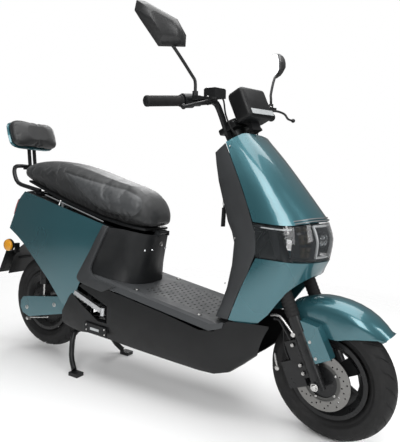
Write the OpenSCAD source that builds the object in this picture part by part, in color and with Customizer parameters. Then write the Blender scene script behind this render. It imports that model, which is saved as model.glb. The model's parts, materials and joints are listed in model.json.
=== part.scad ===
// Electric moped scooter, step-through, on its centre stand.
// +X forward, +Y to the rider's left, +Z up. The ground is z = 0.
// Lengths are in millimetres. Places behind the seat are measured from the rear axle,
// places near the front wheel from the front axle.

/* [Chassis] */
// Distance between the axles
wheelbase = 1280; // [1180:10:1540]
// Half-width of the side skirts
skirt_hw = 170; // [155:1:205]
// Half-width of the front bodywork
front_hw = 142; // [130:1:172]
// Wall of the moulded body panels
panel_t = 3; // [2.5:0.5:5]
// Radius of the frame tubes
frame_r = 13; // [10:1:16]

/* [Wheels] */
// Outside diameter of the tyres
tyre_d = 414; // [345:1:460]
// Width of the tyres
tyre_w = 84; // [70:1:100]
// Diameter of the rim at the bead
rim_d = 254; // [240:1:270]
// Diameter of the front brake disc
disc_d = 186; // [150:1:200]
// Height of the rear tyre above the ground on the stand
rear_lift = 17; // [0:1:30]

/* [Steering] */
// Rake of the steering axis from the vertical, degrees
rake = 26; // [22:1:29]
// Steering angle at rest, degrees, negative to the right
steer = -10; // [-15:1:0]
// Distance of the steering axis behind the axle at axle height
axis_back = 16; // [8:1:22]
// Half of the distance between the fork legs
leg_y = 85; // [80:1:96]
// Outside radius of the fork tubes that carry the sliders
stanchion_r = 13.5; // [12:0.5:15]
// Travel of the fork
fork_travel = 50; // [20:1:50]
// Diameter of the handlebar tube
bar_d = 22.2; // [20:0.1:25.4]
// Outside diameter of the grips
grip_d = 33; // [30:1:36]

/* [Rear suspension] */
// Distance of the swingarm pivot ahead of the rear axle
pivot_x = 300; // [285:1:320]
// Radius of the rear axle
axle_r = 8; // [7:0.5:10]
// Outside radius of the shock tubes
shock_r = 20; // [16:1:22]

/* [Stand] */
// Half of the distance between the stand feet
stand_hw = 159; // [140:1:175]
// Radius of the stand tubes
stand_r = 11; // [9:1:14]

/* [Seat] */
// Half-width of the seat
seat_hw = 131; // [115:1:150]
// Thickness of the seat pan
pan_t = 8; // [6:1:10]

/* [Fits] */
// Radial clearance of turning fits
fit = 0.05; // [0.02:0.01:0.09]
// Gap between parts that only lie next to each other
gap = 0.3; // [0.2:0.05:0.5]

/* [Hidden] */

teal = "#3a7f88";
charcoal = "#3b3d3f";
black = "#17181a";
silver = "#b9bcc0";
rubber = "#1d1d1e";

tyre_r = tyre_d / 2;
rim_r = rim_d / 2;
disc_r = disc_d / 2;
bar_r = bar_d / 2;
rear_z = tyre_r + rear_lift;

// The origin is under the middle of the overall length
tail_x = -264;
origin_x = (tail_x + wheelbase + tyre_r) / 2;
origin_y = 4;

// ---- general helpers ----

function flip_y(p) = [p[0], -p[1], p[2]];

function curve(a, b, c, d, t) =
    0.5 * (2*b + (c - a)*t + (2*a - 5*b + 4*c - d)*t*t + (3*b - a - 3*c + d)*t*t*t);

// Smooth curve through points, n steps between neighbours
function spline(p, n) = [
    for (i = [0:len(p) - 2]) for (k = [0:n - 1])
        curve(p[max(i - 1, 0)], p[i], p[i + 1], p[min(i + 2, len(p) - 1)], k / n),
    p[len(p) - 1]
];

function transpose(g) = [for (c = [0:len(g[0]) - 1]) [for (r = g) r[c]]];

// Grid of points smoothed along its rows and its columns
function smooth(g, along_rows, along_cols) =
    transpose([for (line = transpose([for (row = g) spline(row, along_rows)]))
        spline(line, along_cols)]);

// A row that runs from the middle outwards, continued to the other side
function both_sides(row) = concat([for (i = [len(row) - 1:-1:1]) flip_y(row[i])], row);
function whole(g) = [for (row = g) both_sides(row)];
function shift(g, v) = [for (row = g) [for (p = row) p + v]];

function normal(g, r, c) =
    let (du = g[min(r + 1, len(g) - 1)][c] - g[max(r - 1, 0)][c],
         dv = g[r][min(c + 1, len(g[0]) - 1)] - g[r][max(c - 1, 0)],
         n = cross(du, dv))
    n / norm(n);

function offset_grid(g, t) =
    [for (r = [0:len(g) - 1]) [for (c = [0:len(g[0]) - 1]) g[r][c] + t * normal(g, r, c)]];

// Closed skin between grid g and the same grid moved by t along its normals
module skin(g, t) {
    outer = t > 0 ? offset_grid(g, t) : g;
    inner = t > 0 ? g : offset_grid(g, t);
    rows = len(g);
    cols = len(g[0]);
    n = rows * cols;
    function at(r, c, layer) = layer * n + r * cols + c;
    points = [for (row = outer) each row, for (row = inner) each row];
    top = [for (r = [0:rows - 2]) for (c = [0:cols - 2]) each
        [[at(r, c, 0), at(r, c + 1, 0), at(r + 1, c, 0)],
         [at(r + 1, c, 0), at(r, c + 1, 0), at(r + 1, c + 1, 0)]]];
    under = [for (r = [0:rows - 2]) for (c = [0:cols - 2]) each
        [[at(r, c, 1), at(r + 1, c, 1), at(r, c + 1, 1)],
         [at(r + 1, c, 1), at(r + 1, c + 1, 1), at(r, c + 1, 1)]]];
    edge = concat(
        [for (c = [0:cols - 1]) [0, c]],
        [for (r = [1:rows - 1]) [r, cols - 1]],
        [for (c = [cols - 2:-1:0]) [rows - 1, c]],
        [for (r = [rows - 2:-1:1]) [r, 0]]);
    m = len(edge);
    sides = [for (i = [0:m - 1])
        let (a = edge[i], b = edge[(i + 1) % m]) each
        [[at(a[0], a[1], 0), at(a[0], a[1], 1), at(b[0], b[1], 0)],
         [at(b[0], b[1], 0), at(a[0], a[1], 1), at(b[0], b[1], 1)]]];
    polyhedron(points, concat(top, under, sides), convexity = 8);
}

// Closed solid through rings of equal length
module loft(rings) {
    n = len(rings[0]);
    last = len(rings) - 1;
    points = [for (ring = rings) each ring];
    sides = [for (i = [0:last - 1]) for (k = [0:n - 1])
        let (j = (k + 1) % n) each
        [[i * n + k, i * n + j, (i + 1) * n + k],
         [(i + 1) * n + k, i * n + j, (i + 1) * n + j]]];
    caps = [[for (k = [n - 1:-1:0]) k], [for (k = [0:n - 1]) last * n + k]];
    polyhedron(points, concat(sides, caps), convexity = 6);
}

// Round tube along a path
module tube(path, r, sides = 10, ref = [0, 1, 0]) {
    last = len(path) - 1;
    loft([for (i = [0:last])
        let (d = path[min(i + 1, last)] - path[max(i - 1, 0)],
             t = d / norm(d),
             s0 = cross(t, ref),
             s = s0 / norm(s0),
             u = cross(s, t))
        [for (k = [0:sides - 1])
            path[i] + r * (cos(360 * k / sides) * s + sin(360 * k / sides) * u)]]);
}

// Places children with their z axis along the line from p to q
module along(p, q) {
    d = q - p;
    translate(p)
        rotate([0, acos(d[2] / norm(d)), atan2(d[1], d[0])])
            children();
}

module pair() {
    children();
    mirror([0, 1, 0]) children();
}

// Cylinder along y from y0 to y1
module across(r, y0, y1, x = 0, z = 0) {
    translate([x, y1, z]) rotate([90, 0, 0]) cylinder(r = r, h = y1 - y0, $fn = 48);
}

// Plate in the side view, between y0 and y1
module side_plate(outline, y0, y1) {
    translate([0, y1, 0]) rotate([90, 0, 0]) linear_extrude(y1 - y0) polygon(outline);
}

module part(c) {
    color(c) translate([-origin_x, -origin_y, 0]) children();
}

// Children drawn about the front axle at ground level
module at_front() {
    translate([wheelbase, 0, 0]) children();
}

// Children drawn straight ahead, turned to the steering angle at rest
module steered() {
    at_front()
        translate([-axis_back, 0, tyre_r]) rotate([0, -rake, 0]) rotate([0, 0, steer])
            rotate([0, rake, 0]) translate([axis_back, 0, -tyre_r])
                children();
}

// Children drawn about the steering axis, z along it, x forward
module on_axis() {
    steered() translate([-axis_back, 0, tyre_r]) rotate([0, -rake, 0]) children();
}

// ---- frame ----

head_z0 = 360;
head_z1 = 560;
head_r = 22;
steerer_r = 13;
floor_rail_y = 112;
floor_rail_z = 222;
crown_z = 318;
leg_x = axis_back * cos(rake);
axle_local = [leg_x, 0, -axis_back * sin(rake)];

function axis_point(z) = [-axis_back - z * sin(rake), 0, tyre_r + z * cos(rake)];
function front_point(p) = p + [wheelbase, 0, 0];

module frame_front() {
    top = front_point(axis_point(head_z1 - 60));
    low = front_point(axis_point(head_z0 + 30));
    part(black) {
        difference() {
            union() {
                translate(front_point(axis_point(head_z0))) rotate([0, -rake, 0])
                    cylinder(r = head_r, h = head_z1 - head_z0, $fn = 48);
                tube([top + [-4, 0, -4], top + [-58, 0, -90], low + [-92, 0, -110],
                    front_point([-338, 0, 262]), front_point([-372, 0, floor_rail_z])],
                    frame_r + 5, 12);
                // Carriers of the leg shield, the front shield, the headlight and the apron
                at_front() {
                    translate([-344 + gap, -12, 640]) cube([100, 24, 16]);
                    translate([-250, -10, 690]) cube([100, 20, 8]);
                    translate([-222, -10, 622]) cube([52 - gap, 20, 16]);
                    translate([-178, -10, 556]) cube([98, 20, 8]);
                }
            }
            translate(front_point(axis_point(head_z0 - 1))) rotate([0, -rake, 0])
                cylinder(r = steerer_r + fit, h = head_z1 - head_z0 + 2, $fn = 48);
        }
        across(frame_r, -floor_rail_y, floor_rail_y, wheelbase - 372, floor_rail_z);
        pair() tube([[318, floor_rail_y, floor_rail_z], [560, floor_rail_y, floor_rail_z],
            front_point([-330, floor_rail_y, floor_rail_z])], frame_r, 12);
        for (x = [345, 460, 740])
            across(frame_r - 3, -floor_rail_y, floor_rail_y, x, floor_rail_z);
        // Floor supports
        pair() {
            translate([560, 101, floor_rail_z]) cylinder(r = 8, h = 160, $fn = 32);
            translate([560, 100, floor_top(560)]) rotate([0, atan(0.15), 0])
                translate([-30, -12, -9 - panel_t + 3 - gap]) cube([60, 24, 5]);
        }
        // Footpeg brackets with their upright pins
        pair() {
            translate([peg_pivot[0] - 14, 116, 226]) cube([28, 8, peg_pivot[2] - 14 - gap - 226]);
            translate([peg_pivot[0] - 12, 116, peg_pivot[2] - 20 - gap])
                cube([24, peg_pivot[1] - 116 + 9, 6]);
            translate(peg_pivot - [0, 0, 18]) cylinder(r = 4, h = 40, $fn = 32);
        }
    }
}

module frame_rear() {
    part(black) {
        pair() {
            tube(spline([[330, 112, floor_rail_z + frame_r + 2.4], [352, 114, 400],
                [318, 116, 560], [200, 114, 636], [0, 99, 689], [-46, 97, 700]], 2),
                frame_r - 1, 10);
            tube([[348, 114, 470], [180, 114, 496], [44, 114, 499], [-20, 110, 560],
                [-30, 99, 690]], frame_r - 3, 10);
            across(8, 108, 130, 180, 496);
            across(7, 108, 132, 200, 640);
            across(6, shock_y + 9.2, 114, shock_x, shock_top - 10);
            translate([pivot_x - 22, 84, 246]) cube([44, 10, 60]);
            translate([pivot_x - 10, 93.9, 250]) cube([46, 20, 26]);
            translate([284, 84, 226]) cube([52, 10, 34]);
            translate([stand_x - 12, 60, stand_z]) cube([24, 8, 36]);
            across(11, 60, 68, stand_x, stand_z);
            translate([stand_x - 2, 60, 227]) cube([40, 34, 9]);
        }
        across(frame_r - 3, -98, 98, -38, 699);
        across(8, -110, 110, -10, 552);
        across(10 - gap, -114, 114, 344, 446);
        across(8, -84, 84, pivot_x, 270);
        across(6, -68, 68, stand_x, stand_z);
    }
}

// ---- inside the body ----

module battery_pack() {
    base = floor_rail_z + frame_r - 3 + gap;
    part("#2b3036") translate([452, -88, base]) cube([290, 176, 108]);
    part("#c7702a") translate([520, -40, base + 108]) cube([60, 80, 6]);
}

module motor_controller() {
    base = floor_rail_z + frame_r - 3 + gap;
    part(silver) {
        translate([334, -62, 290]) cube([70, 124, 84]);
        for (i = [0:6]) translate([403, -56 + i * 18, 292]) cube([10, 4, 80]);
        translate([338, -50, base]) cube([16, 100, 60]);
    }
}

// ---- bodywork ----

// Upper shield, from its top edge to the headlight; each row runs outwards
shield_grid = [
    [[-295, 0, 962], [-302, 60, 961], [-318, front_hw - 38, 957], [-363, front_hw - 12, 928]],
    [[-222, 0, 890], [-236, 75, 889], [-268, front_hw - 24, 884], [-330, front_hw - 5, 866]],
    [[-142, 0, 800], [-160, 84, 799], [-206, front_hw - 14, 793], [-292, front_hw - 1, 792]],
    [[-50, 0, 693], [-73, 88, 690], [-140, front_hw - 10, 676], [-243, front_hw, 680]]
];

lens_grid = [
    [[-49, 0, 689], [-72, 88, 686], [-139, front_hw - 10, 672], [-242, front_hw, 676]],
    [[-31, 0, 635], [-52, 84, 633], [-115, front_hw - 6, 623], [-232, front_hw + 1, 624]],
    [[-36, 0, 572], [-56, 80, 571], [-108, front_hw - 9, 570], [-226, front_hw - 1, 571]]
];

apron_grid = [
    [[-36, 0, 568], [-56, 80, 567], [-108, front_hw - 9, 566], [-165, front_hw + 1, 567],
     [-226, front_hw - 1, 567]],
    [[-45, 0, 545], [-66, 76, 541], [-117, front_hw - 18, 512], [-196, front_hw - 8, 470],
     [-268, front_hw - 2, 470]],
    [[-58, 0, 521], [-70, 69, 518], [-128, front_hw - 29, 468], [-212, front_hw - 24, 358],
     [-308, front_hw - 3, 354]]
];

// Rider's side of the leg shield, from its top edge down to the floor
inner_grid = [
    [[-430, 0, 905], [-424, 60, 903], [-408, front_hw - 28, 894], [-366, front_hw - 14, 924]],
    [[-415, 0, 800], [-406, 64, 800], [-382, front_hw - 24, 802], [-300, front_hw - 4, 800]],
    [[-378, 0, 668], [-368, 66, 668], [-330, front_hw - 22, 667], [-247, front_hw - 2, 676]],
    [[-350, 0, 600], [-340, 66, 600], [-303, front_hw - 22, 600], [-229, front_hw - 3, 584]],
    [[-354, 0, 450], [-347, 68, 450], [-327, front_hw - 20, 450], [-281, front_hw - 4, 445]],
    [[-382, 0, 352], [-377, 70, 352], [-360, front_hw - 16, 353], [-312, front_hw - 5, 354]]
];

module front_shield() {
    part(teal) at_front() {
        skin(whole(smooth(shield_grid, 3, 3)), -panel_t);
        translate([-150 + gap, -10, 692]) cube([94 - gap, 20, 5]);
    }
}

module front_apron() {
    part(teal) at_front() {
        skin(whole(smooth(apron_grid, 3, 4)), -panel_t);
        translate([-80 + gap, -10, 556]) cube([37 - gap, 20, 6]);
    }
}

module inner_leg_shield() {
    part(charcoal) difference() {
        at_front() {
            skin(whole(smooth(inner_grid, 3, 2)), panel_t);
            translate([-371, -12, 642]) cube([27, 24, 12]);
        }
        translate(front_point(lock_place) - [40, 0, 0]) rotate([0, 90, 0])
            cylinder(r = lock_r + gap, h = 80, $fn = 48);
    }
}

module headlight_lens() {
    part("#9fb0b5") at_front() skin(whole(smooth(lens_grid, 3, 3)), -panel_t);
}

lamp_place = [-84, 0, 630];

module headlight_housing() {
    part(black) at_front() {
        difference() {
            skin(whole(smooth(shift(lens_grid, [-36, 0, 0]), 3, 2)), -panel_t);
            translate(lamp_place) rotate([0, 90, 0]) cylinder(r = 26, h = 60, center = true);
            for (s = [-1, 1]) translate([-220, s * (front_hw - 8), 620])
                cube([200, 40, 260], center = true);
        }
        translate(lamp_place) rotate([0, 90, 0]) difference() {
            translate([0, 0, -14]) cylinder(r = 30, h = 40, $fn = 48);
            cylinder(r = 26, h = 40, $fn = 48);
        }
        translate([-170, -10, 622]) cube([74, 20, 16]);
    }
}

// Strips over the lens and along the top of the side panels
module chrome_trim() {
    rows = whole(smooth(shield_grid, 3, 3));
    last = len(rows) - 1;
    middle = floor(len(rows[0]) / 2);
    function strip_row(t) = [for (k = [middle - 5:middle + 5])
        rows[last - 1][k] * (1 - t) + rows[last][k] * t + [1.4, 0, 0.8]];
    part(silver) {
        at_front() for (t = [0.62, 0.86]) skin([strip_row(t), strip_row(t + 0.1)], 2);
        pair() {
            tube([for (t = [0:0.25:1]) [98 + 326 * t, skirt_hw - 26 + 2 * t,
                705 - 82 * t]], 2.6, 6);
            translate([194, 132 + gap, 634]) cube([12, skirt_hw - 158.5, 47]);
        }
    }
}

// Outside of the side panel at a place of the side view
function panel_y(x, z) =
    skirt_hw - 12 - 34 * pow(max(0, 230 - x) / 380, 2) - 8 * pow(max(0, x - 230) / 210, 2)
    - (z > 545 ? 0.09 * (z - 545) : 0.11 * (545 - z));

// Rows run from the top edge to the lower edge, points from the rear to the front
panel_rows = [
    [[-52, 711], [70, 690], [193, 664], [315, 638], [432, 611]],
    [[-92, 671], [52, 640], [190, 606], [310, 580], [414, 566]],
    [[-118, 608], [24, 566], [170, 530], [290, 508], [378, 500]],
    [[-147, 543], [-42, 489], [121, 353], [231, 251], [318, 404]]
];

module side_panels() {
    g = [for (row = panel_rows) [for (p = row) [p[0], panel_y(p[0], p[1]), p[1]]]];
    part(teal) pair() {
        skin(smooth(g, 3, 3), panel_t);
        across(6, 130 + gap, skirt_hw - 20, 180, 496);
    }
}

// Black cover under the front of the seat, rows from the top down, points outwards
cover_grid = [
    [[597, 0, 583], [584, 56, 584], [545, 98, 592], [500, 118, 600], [440, skirt_hw - 24, 604]],
    [[588, 0, 520], [574, 58, 521], [530, 104, 520], [470, 128, 516],
     [390, skirt_hw - 14, 506]],
    [[578, 0, 462], [564, 62, 461], [518, 110, 456], [448, 136, 454],
     [356, skirt_hw - 12, 462]],
    [[566, 0, floor_top(566) + 2], [556, 66, floor_top(556) + 2], [520, 116, floor_top(520) + 2],
     [450, 144, floor_top(450) + 4], [360, skirt_hw - 10, floor_top(360) + 5]]
];

module under_seat_cover() {
    part(black) {
        skin(whole(smooth(cover_grid, 3, 3)), -panel_t);
        across(4, -34, 34, hinge[0], hinge[1]);
        pair() side_plate([[576, 580], [hinge[0] + 8, 580], [hinge[0] + 8, 598],
            [hinge[0] - 8, 598]], 25 + gap, 34);
    }
}

module storage_bucket() {
    outline = [[190, 456], [508, 456], [540, 572], [430, 600], [190, 654]];
    inner = [[194, 460], [504, 460], [537, 580], [430, 610], [194, 664]];
    part("#2a2b2d") difference() {
        side_plate(outline, -94, 94);
        side_plate(inner, -90, 90);
    }
}

// Floor, rows from the rear to the front, points outwards
function floor_top(x) = 392 - 0.15 * (x - 560);
floor_x = [for (x = [372, 452, 556, 660, 768]) x, wheelbase - 398, wheelbase - 362];
function floor_row(x) = [
    [x, 0, floor_top(x)], [x, 90, floor_top(x)], [x, skirt_hw - 18, floor_top(x) + 3],
    [x, skirt_hw - 7, floor_top(x) - 4], [x, skirt_hw, floor_top(x) - 25]
];

// Front end of the floor, drawn in and lifted round the foot of the leg shield
function floor_nose(x, narrow, lift) = [
    [x, 0, floor_top(x)], [x, 90, floor_top(x)], [x, skirt_hw - narrow - 18, floor_top(x) + lift / 2],
    [x, skirt_hw - narrow - 6, floor_top(x) + lift], [x, skirt_hw - narrow, floor_top(x) + lift - 18]
];

module floor_board() {
    rows = concat([for (x = floor_x) floor_row(x)],
        [floor_nose(wheelbase - 340, 7, 3), floor_nose(wheelbase - 319, 11, 14)]);
    part(charcoal) difference() {
        skin(whole(rows), -panel_t - 1);
        translate([350, -skirt_hw + 60, 300]) cube([162, 2 * skirt_hw - 120, 200]);
        translate([wheelbase - 345, -30, 300]) cube([40, 60, 60]);
    }
}

// Skirt: x, top and bottom of each station, and its half-width
skirt_stations = [
    [238, 250, 190, 158], [280, 318, 184, 163], [330, 366, 181, 167], [372, 390, 186, 168],
    [470, 376, 183, 168], [600, 357, 175, 168], [740, 336, 170, 168],
    [wheelbase - 400, 309, 166, 168], [wheelbase - 350, 312, 164, 158],
    [wheelbase - 308, 350, 174, 142], [wheelbase - 262, 353, 210, 132],
    [wheelbase - 214, 354, 252, 122], [wheelbase - 176, 354, 300, 116]
];

function skirt_row(s) =
    let (w = s[3] - 170 + skirt_hw) [
    [s[0], w - 1, s[1] - 1], [s[0], w, lerp_z(s, 0.66)], [s[0], w - 4, lerp_z(s, 0.3)],
    [s[0], w - 22, s[2]], [s[0], w - 58, s[2] - 2]
];
function lerp_z(s, t) = s[2] + (s[1] - s[2]) * t;

peg_pivot = [448, 152, 282];

module skirts() {
    part(black) pair() difference() {
        skin(smooth([for (s = skirt_stations) skirt_row(s)], 2, 1), panel_t);
        peg_window();
        tyre_way();
    }
}

// Room for the front tyre at both locks, with the fork out and pushed in
module tyre_way() {
    way_r = tyre_r + 10;
    on_axis() translate(axle_local) {
        sphere(r = way_r, $fn = 64);
        cylinder(r = way_r, h = fork_travel, $fn = 64);
        translate([0, 0, fork_travel]) sphere(r = way_r, $fn = 64);
    }
}

module peg_window() {
    side_plate([[284, 336], [286, 352], [330, 368], [482, 312], [482, 246], [436, 246]], 140, 200);
}

module belly_pan() {
    w = skirt_hw - 70;
    rows = [for (s = [for (i = [3:9]) skirt_stations[i]]) [for (t = [-1:0.5:1])
        [s[0], t * w, s[2] + 6]]];
    part(black) {
        skin(rows, panel_t);
        translate([450, -20, 187]) cube([20, 40, floor_rail_z - frame_r + 3 - gap - 187]);
    }
}

// Tail between the side panels, rows from the top down, points outwards
tail_grid = [
    [[-100, 0, 712], [-92, 60, 712], [-56, 112, 710]],
    [[-150, 0, 672], [-142, 66, 672], [-96, 116, 670]],
    [[-178, 0, 606], [-168, 68, 606], [-122, 116, 606]],
    [[-196, 0, 545], [-186, 66, 545], [-151, 108, 543]]
];

module tail_cover() {
    part(charcoal) {
        skin(whole(smooth(tail_grid, 3, 2)), panel_t);
        translate([-114, -15, 695]) cube([66 - gap, 30, 8]);
    }
}

module tail_light() {
    rows = smooth(tail_grid, 3, 2);
    part("#a3161a") skin(offset_grid(whole([for (i = [2:4]) rows[i]]), -gap), -6);
}

guard_r = tyre_r + 16;

module rear_mudguard() {
    centre = [0, rear_z + 60];
    arc = [for (a = [52:16:164]) centre + guard_r * [cos(a), sin(a)]];
    path = concat([[184, 436]], arc, [[-226, 318]]);
    part(black) {
        difference() {
            skin([for (p = path) [for (y = [-62, 0, 62]) [p[0], y, p[1]]]], -panel_t);
            plate_block(gap);
            plate_bracket(gap);
        }
        difference() {
            union() {
                plate_block(0);
                plate_bracket(0);
            }
            translate([-222, 0, 425]) rotate([0, 25, 0]) for (s = [-1, 1])
                translate([-10, s * plate_hole_y, -50]) rotate([0, 90, 0])
                    cylinder(r = 3.3, h = 20, $fn = 32);
        }
        pair() {
            across(6, 70, 92 - gap, -170, 462);
            translate([-176, 54, 424]) cube([12, 20, 44]);
        }
        translate([-18, -10, 505]) cube([16, 20, 39 - gap]);
    }
}

plate_hole_y = 60;

module plate_block(grow) {
    translate([-222, 0, 425]) rotate([0, 25, 0]) translate([-4 - grow, -80 - grow, -116 - grow])
        cube([5 + 2 * grow, 160 + 2 * grow, 118 + 2 * grow]);
}

module plate_bracket(grow) {
    translate([-234, -30 - grow, 390 - grow]) cube([46 + grow, 60 + 2 * grow, 10 + 2 * grow]);
}

module indicators() {
    part("#d98a12") pair() across(28, 92, 122, -170, 462);
}

// ---- rail and backrest ----

module grab_rail() {
    half = [[-198, 0, 821], [-196, 40, 821], [-186, 74, 814], [-166, 92, 784],
        [-132, 97, 745], [-64, 98, 730], [12, 98, 718]];
    part(black) {
        tube(spline(both_sides(half), 3), 9, 10, [1, 0, 1]);
        pair() translate([-6, 88, 703]) cube([30, 16, 10]);
        translate([-194, -24, 806]) cube([44, 48, 8]);
    }
}

module strap(side, grow) {
    along([-158, side * 14, 815], [-172, side * 14, 911]) translate([-3 - grow, -8 - grow, 0])
        cube([6 + 2 * grow, 16 + 2 * grow, 108 + grow]);
}

module backrest_stem() {
    part(black) {
        for (side = [-1, 1]) strap(side, 0);
        translate([-188, -24, 814 + gap]) cube([40, 48, 4]);
    }
}

pad_corner = 0.42;

function pad_ring(x, grow, w, h) = [for (k = [0:19])
    let (a = 18 * k, c = cos(a), s = sin(a))
    [x, -w * sign(c) * pow(abs(c), pad_corner) * grow, h * sign(s) * pow(abs(s), pad_corner) * grow]];

pad_middle = [-168, 0, 962];

module on_backrest() {
    translate(pad_middle) rotate([0, -20, 0]) children();
}

module backrest_pad() {
    part(black) on_backrest() loft([for (s = [[-8, 0.94], [-2, 1], [14, 1], [26, 0.95],
        [34, 0.84], [38, 0.62]]) pad_ring(s[0], s[1], 126, 66)]);
}

module backrest_shell() {
    part(teal) difference() {
        on_backrest() loft([for (s = [[-27, 0.7], [-25, 0.86], [-20, 0.97], [-14, 1],
            [-8 - gap, 0.96]]) pad_ring(s[0], s[1], 122, 63)]);
        for (side = [-1, 1]) strap(side, gap);
    }
}

// ---- lock ----

lock_place = [-402, 0, 742];
lock_r = 16;

module ignition_lock() {
    part(black) translate(front_point(lock_place)) rotate([0, 90, 0]) difference() {
        translate([0, 0, -5]) cylinder(r = lock_r, h = 47, $fn = 48);
        translate([0, 0, -6]) cylinder(r = 5 + fit, h = 30, $fn = 48);
    }
}

ring_place = lock_place + [-20, 0, -17];

module key() {
    part(silver) {
        translate(front_point(lock_place)) {
            rotate([0, 90, 0]) translate([0, 0, -10]) cylinder(r = 5, h = 28, $fn = 48);
            difference() {
                translate([-26, -2, -14]) cube([18, 4, 28]);
                across(4, -5, 5, -20, -8);
            }
        }
        translate(front_point(ring_place)) rotate([0, 90, 0]) rotate_extrude($fn = 48)
            translate([11, 0]) circle(r = 1.3, $fn = 16);
    }
}

// Hangs by an eye from the lowest point of the key ring
module key_fob() {
    part(black) translate(front_point(ring_place)) difference() {
        union() {
            translate([-4, -1.5, -17]) cube([8, 3, 9]);
            translate([-4, -9, -84]) cube([8, 18, 68]);
        }
        across(1.7, -5, 5, 0, -11);
    }
}

// ---- steering ----

function bar_at(y) =
    let (t = (y - 232) / 120) [-440 - 32 * t, y, 1063 - 10 * t];

module on_bar(y, side) {
    mirror([0, side < 0 ? 1 : 0, 0])
        along(bar_at(y), bar_at(y + 10)) children();
}

module steering_stem() {
    part(black) on_axis() {
        difference() {
            union() {
                translate([0, 0, crown_z + 12]) cylinder(r = steerer_r, h = 470, $fn = 48);
                translate([0, 0, crown_z]) linear_extrude(26) {
                    hull() for (s = [-1, 1]) translate([leg_x, s * leg_y])
                        circle(r = stanchion_r + 9, $fn = 40);
                    circle(r = 27, $fn = 48);
                }
            }
            for (s = [-1, 1]) translate([leg_x, s * leg_y, crown_z - 1])
                cylinder(r = stanchion_r + fit, h = 60, $fn = 48);
        }
        translate([0, 0, head_z1 + gap]) difference() {
            cylinder(r = head_r + 3, h = 14, $fn = 48);
            translate([0, 0, -1]) cylinder(r = steerer_r - 1, h = 16, $fn = 48);
        }
        translate([0, 0, crown_z + 26]) cylinder(r = head_r, h = head_z0 - crown_z - 26 - gap,
            $fn = 48);
    }
}

module fork_stanchions() {
    part(silver) on_axis() pair() translate([leg_x, leg_y, 96])
        cylinder(r = stanchion_r, h = crown_z + 26 - 96, $fn = 48);
}

slider_top = 208;
slider_r = 19;
bellows_top = crown_z - gap;
fold_h = 2.4;

module fork_bellows() {
    folds = 9;
    pitch = (bellows_top - slider_top - gap) / folds;
    inner = slider_r + 0.5;
    outline = concat(
        [[inner, 0]],
        [for (i = [0:folds - 1]) each [[inner + 1, i * pitch],
            [inner + fold_h, (i + 0.5) * pitch]]],
        [[inner + 1, folds * pitch], [inner, folds * pitch]]);
    part(rubber) on_axis() pair() translate([leg_x, leg_y, slider_top + gap])
        rotate_extrude($fn = 40) polygon(outline);
}

module handlebar() {
    // Bent middle of the bar, welded to the sleeve over the steerer
    bend = [[-410, 118, 1071], [-407, 97, 1063], [-405, 80, 1040], [-402, 62, 1005],
        [-398, 43, 965], [-392, 24, 930], [-384, 14, 900]];
    part(black) {
        steered() pair() {
            along(bar_at(104), bar_at(352)) cylinder(r = bar_r,
                h = norm(bar_at(352) - bar_at(104)), $fn = 48);
            tube(spline(concat([bar_at(140)], bend), 2), bar_r - 0.2, 10, [1, 0, 0]);
        }
        on_axis() {
            difference() {
                translate([0, 0, 640]) cylinder(r = 21, h = 190, $fn = 48);
                translate([0, 0, 600]) cylinder(r = steerer_r + fit, h = 200, $fn = 48);
            }
            translate([10, -30, 822]) cube([70, 60, 8]);
            translate([66, -26, 828]) cube([14, 52, pod_z0 - gap - 828]);
            translate([-62, -5, 748]) cube([46, 10, 8]);
            translate([-62, -5, 748]) cube([8, 10, 22]);
        }
    }
}

pod_x0 = 52;
pod_x1 = 120;
pod_z0 = 850;
pod_z1 = 962;
pod_hw = 72;

module rounded_box(size, r) {
    hull() for (y = [r, size[1] - r]) for (z = [r, size[2] - r])
        translate([0, y, z]) rotate([0, 90, 0]) cylinder(r = r, h = size[0], $fn = 28);
}

module display_pod() {
    part(black) on_axis() translate([pod_x0, -pod_hw, pod_z0])
        rounded_box([pod_x1 - pod_x0, 2 * pod_hw, pod_z1 - pod_z0], 18);
}

module display_face() {
    part("#9aa4a6") on_axis() {
        translate([pod_x1 + gap, -64, 858]) cube([2, 128, 18]);
        translate([pod_x0 - 2 - gap, -58, 872]) cube([2, 116, 76]);
    }
}

module grip(side) {
    difference() {
        on_bar(234, side) cylinder(r = grip_d / 2, h = 124, $fn = 40);
        on_bar(230, side) cylinder(r = bar_r + fit, h = 140, $fn = 48);
    }
}

module left_grip() {
    part(rubber) steered() grip(1);
}

module throttle_grip() {
    part(rubber) steered() grip(-1);
}

module switch_pods() {
    part(black) steered() for (side = [-1, 1]) difference() {
        union() {
            on_bar(196, side) cylinder(r = 23, h = 36, $fn = 40);
            on_bar(200, side) translate([-8, 0, 0]) cube([24, 26, 28]);
        }
        on_bar(180, side) cylinder(r = bar_r + fit, h = 70, $fn = 48);
        if (side > 0) on_bar(214, side) rotate([-90, 0, 0])
            translate([0, 0, 14]) cylinder(r = 6 + fit, h = 20, $fn = 32);
    }
}

module horn_button() {
    part("#b8860b") steered() on_bar(214, 1) rotate([-90, 0, 0])
        translate([0, 0, 18]) cylinder(r = 6, h = 12, $fn = 32);
}

lever_pivot = [-372, 196, 1060];
mirror_base = [-394, 222, 1074];

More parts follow.
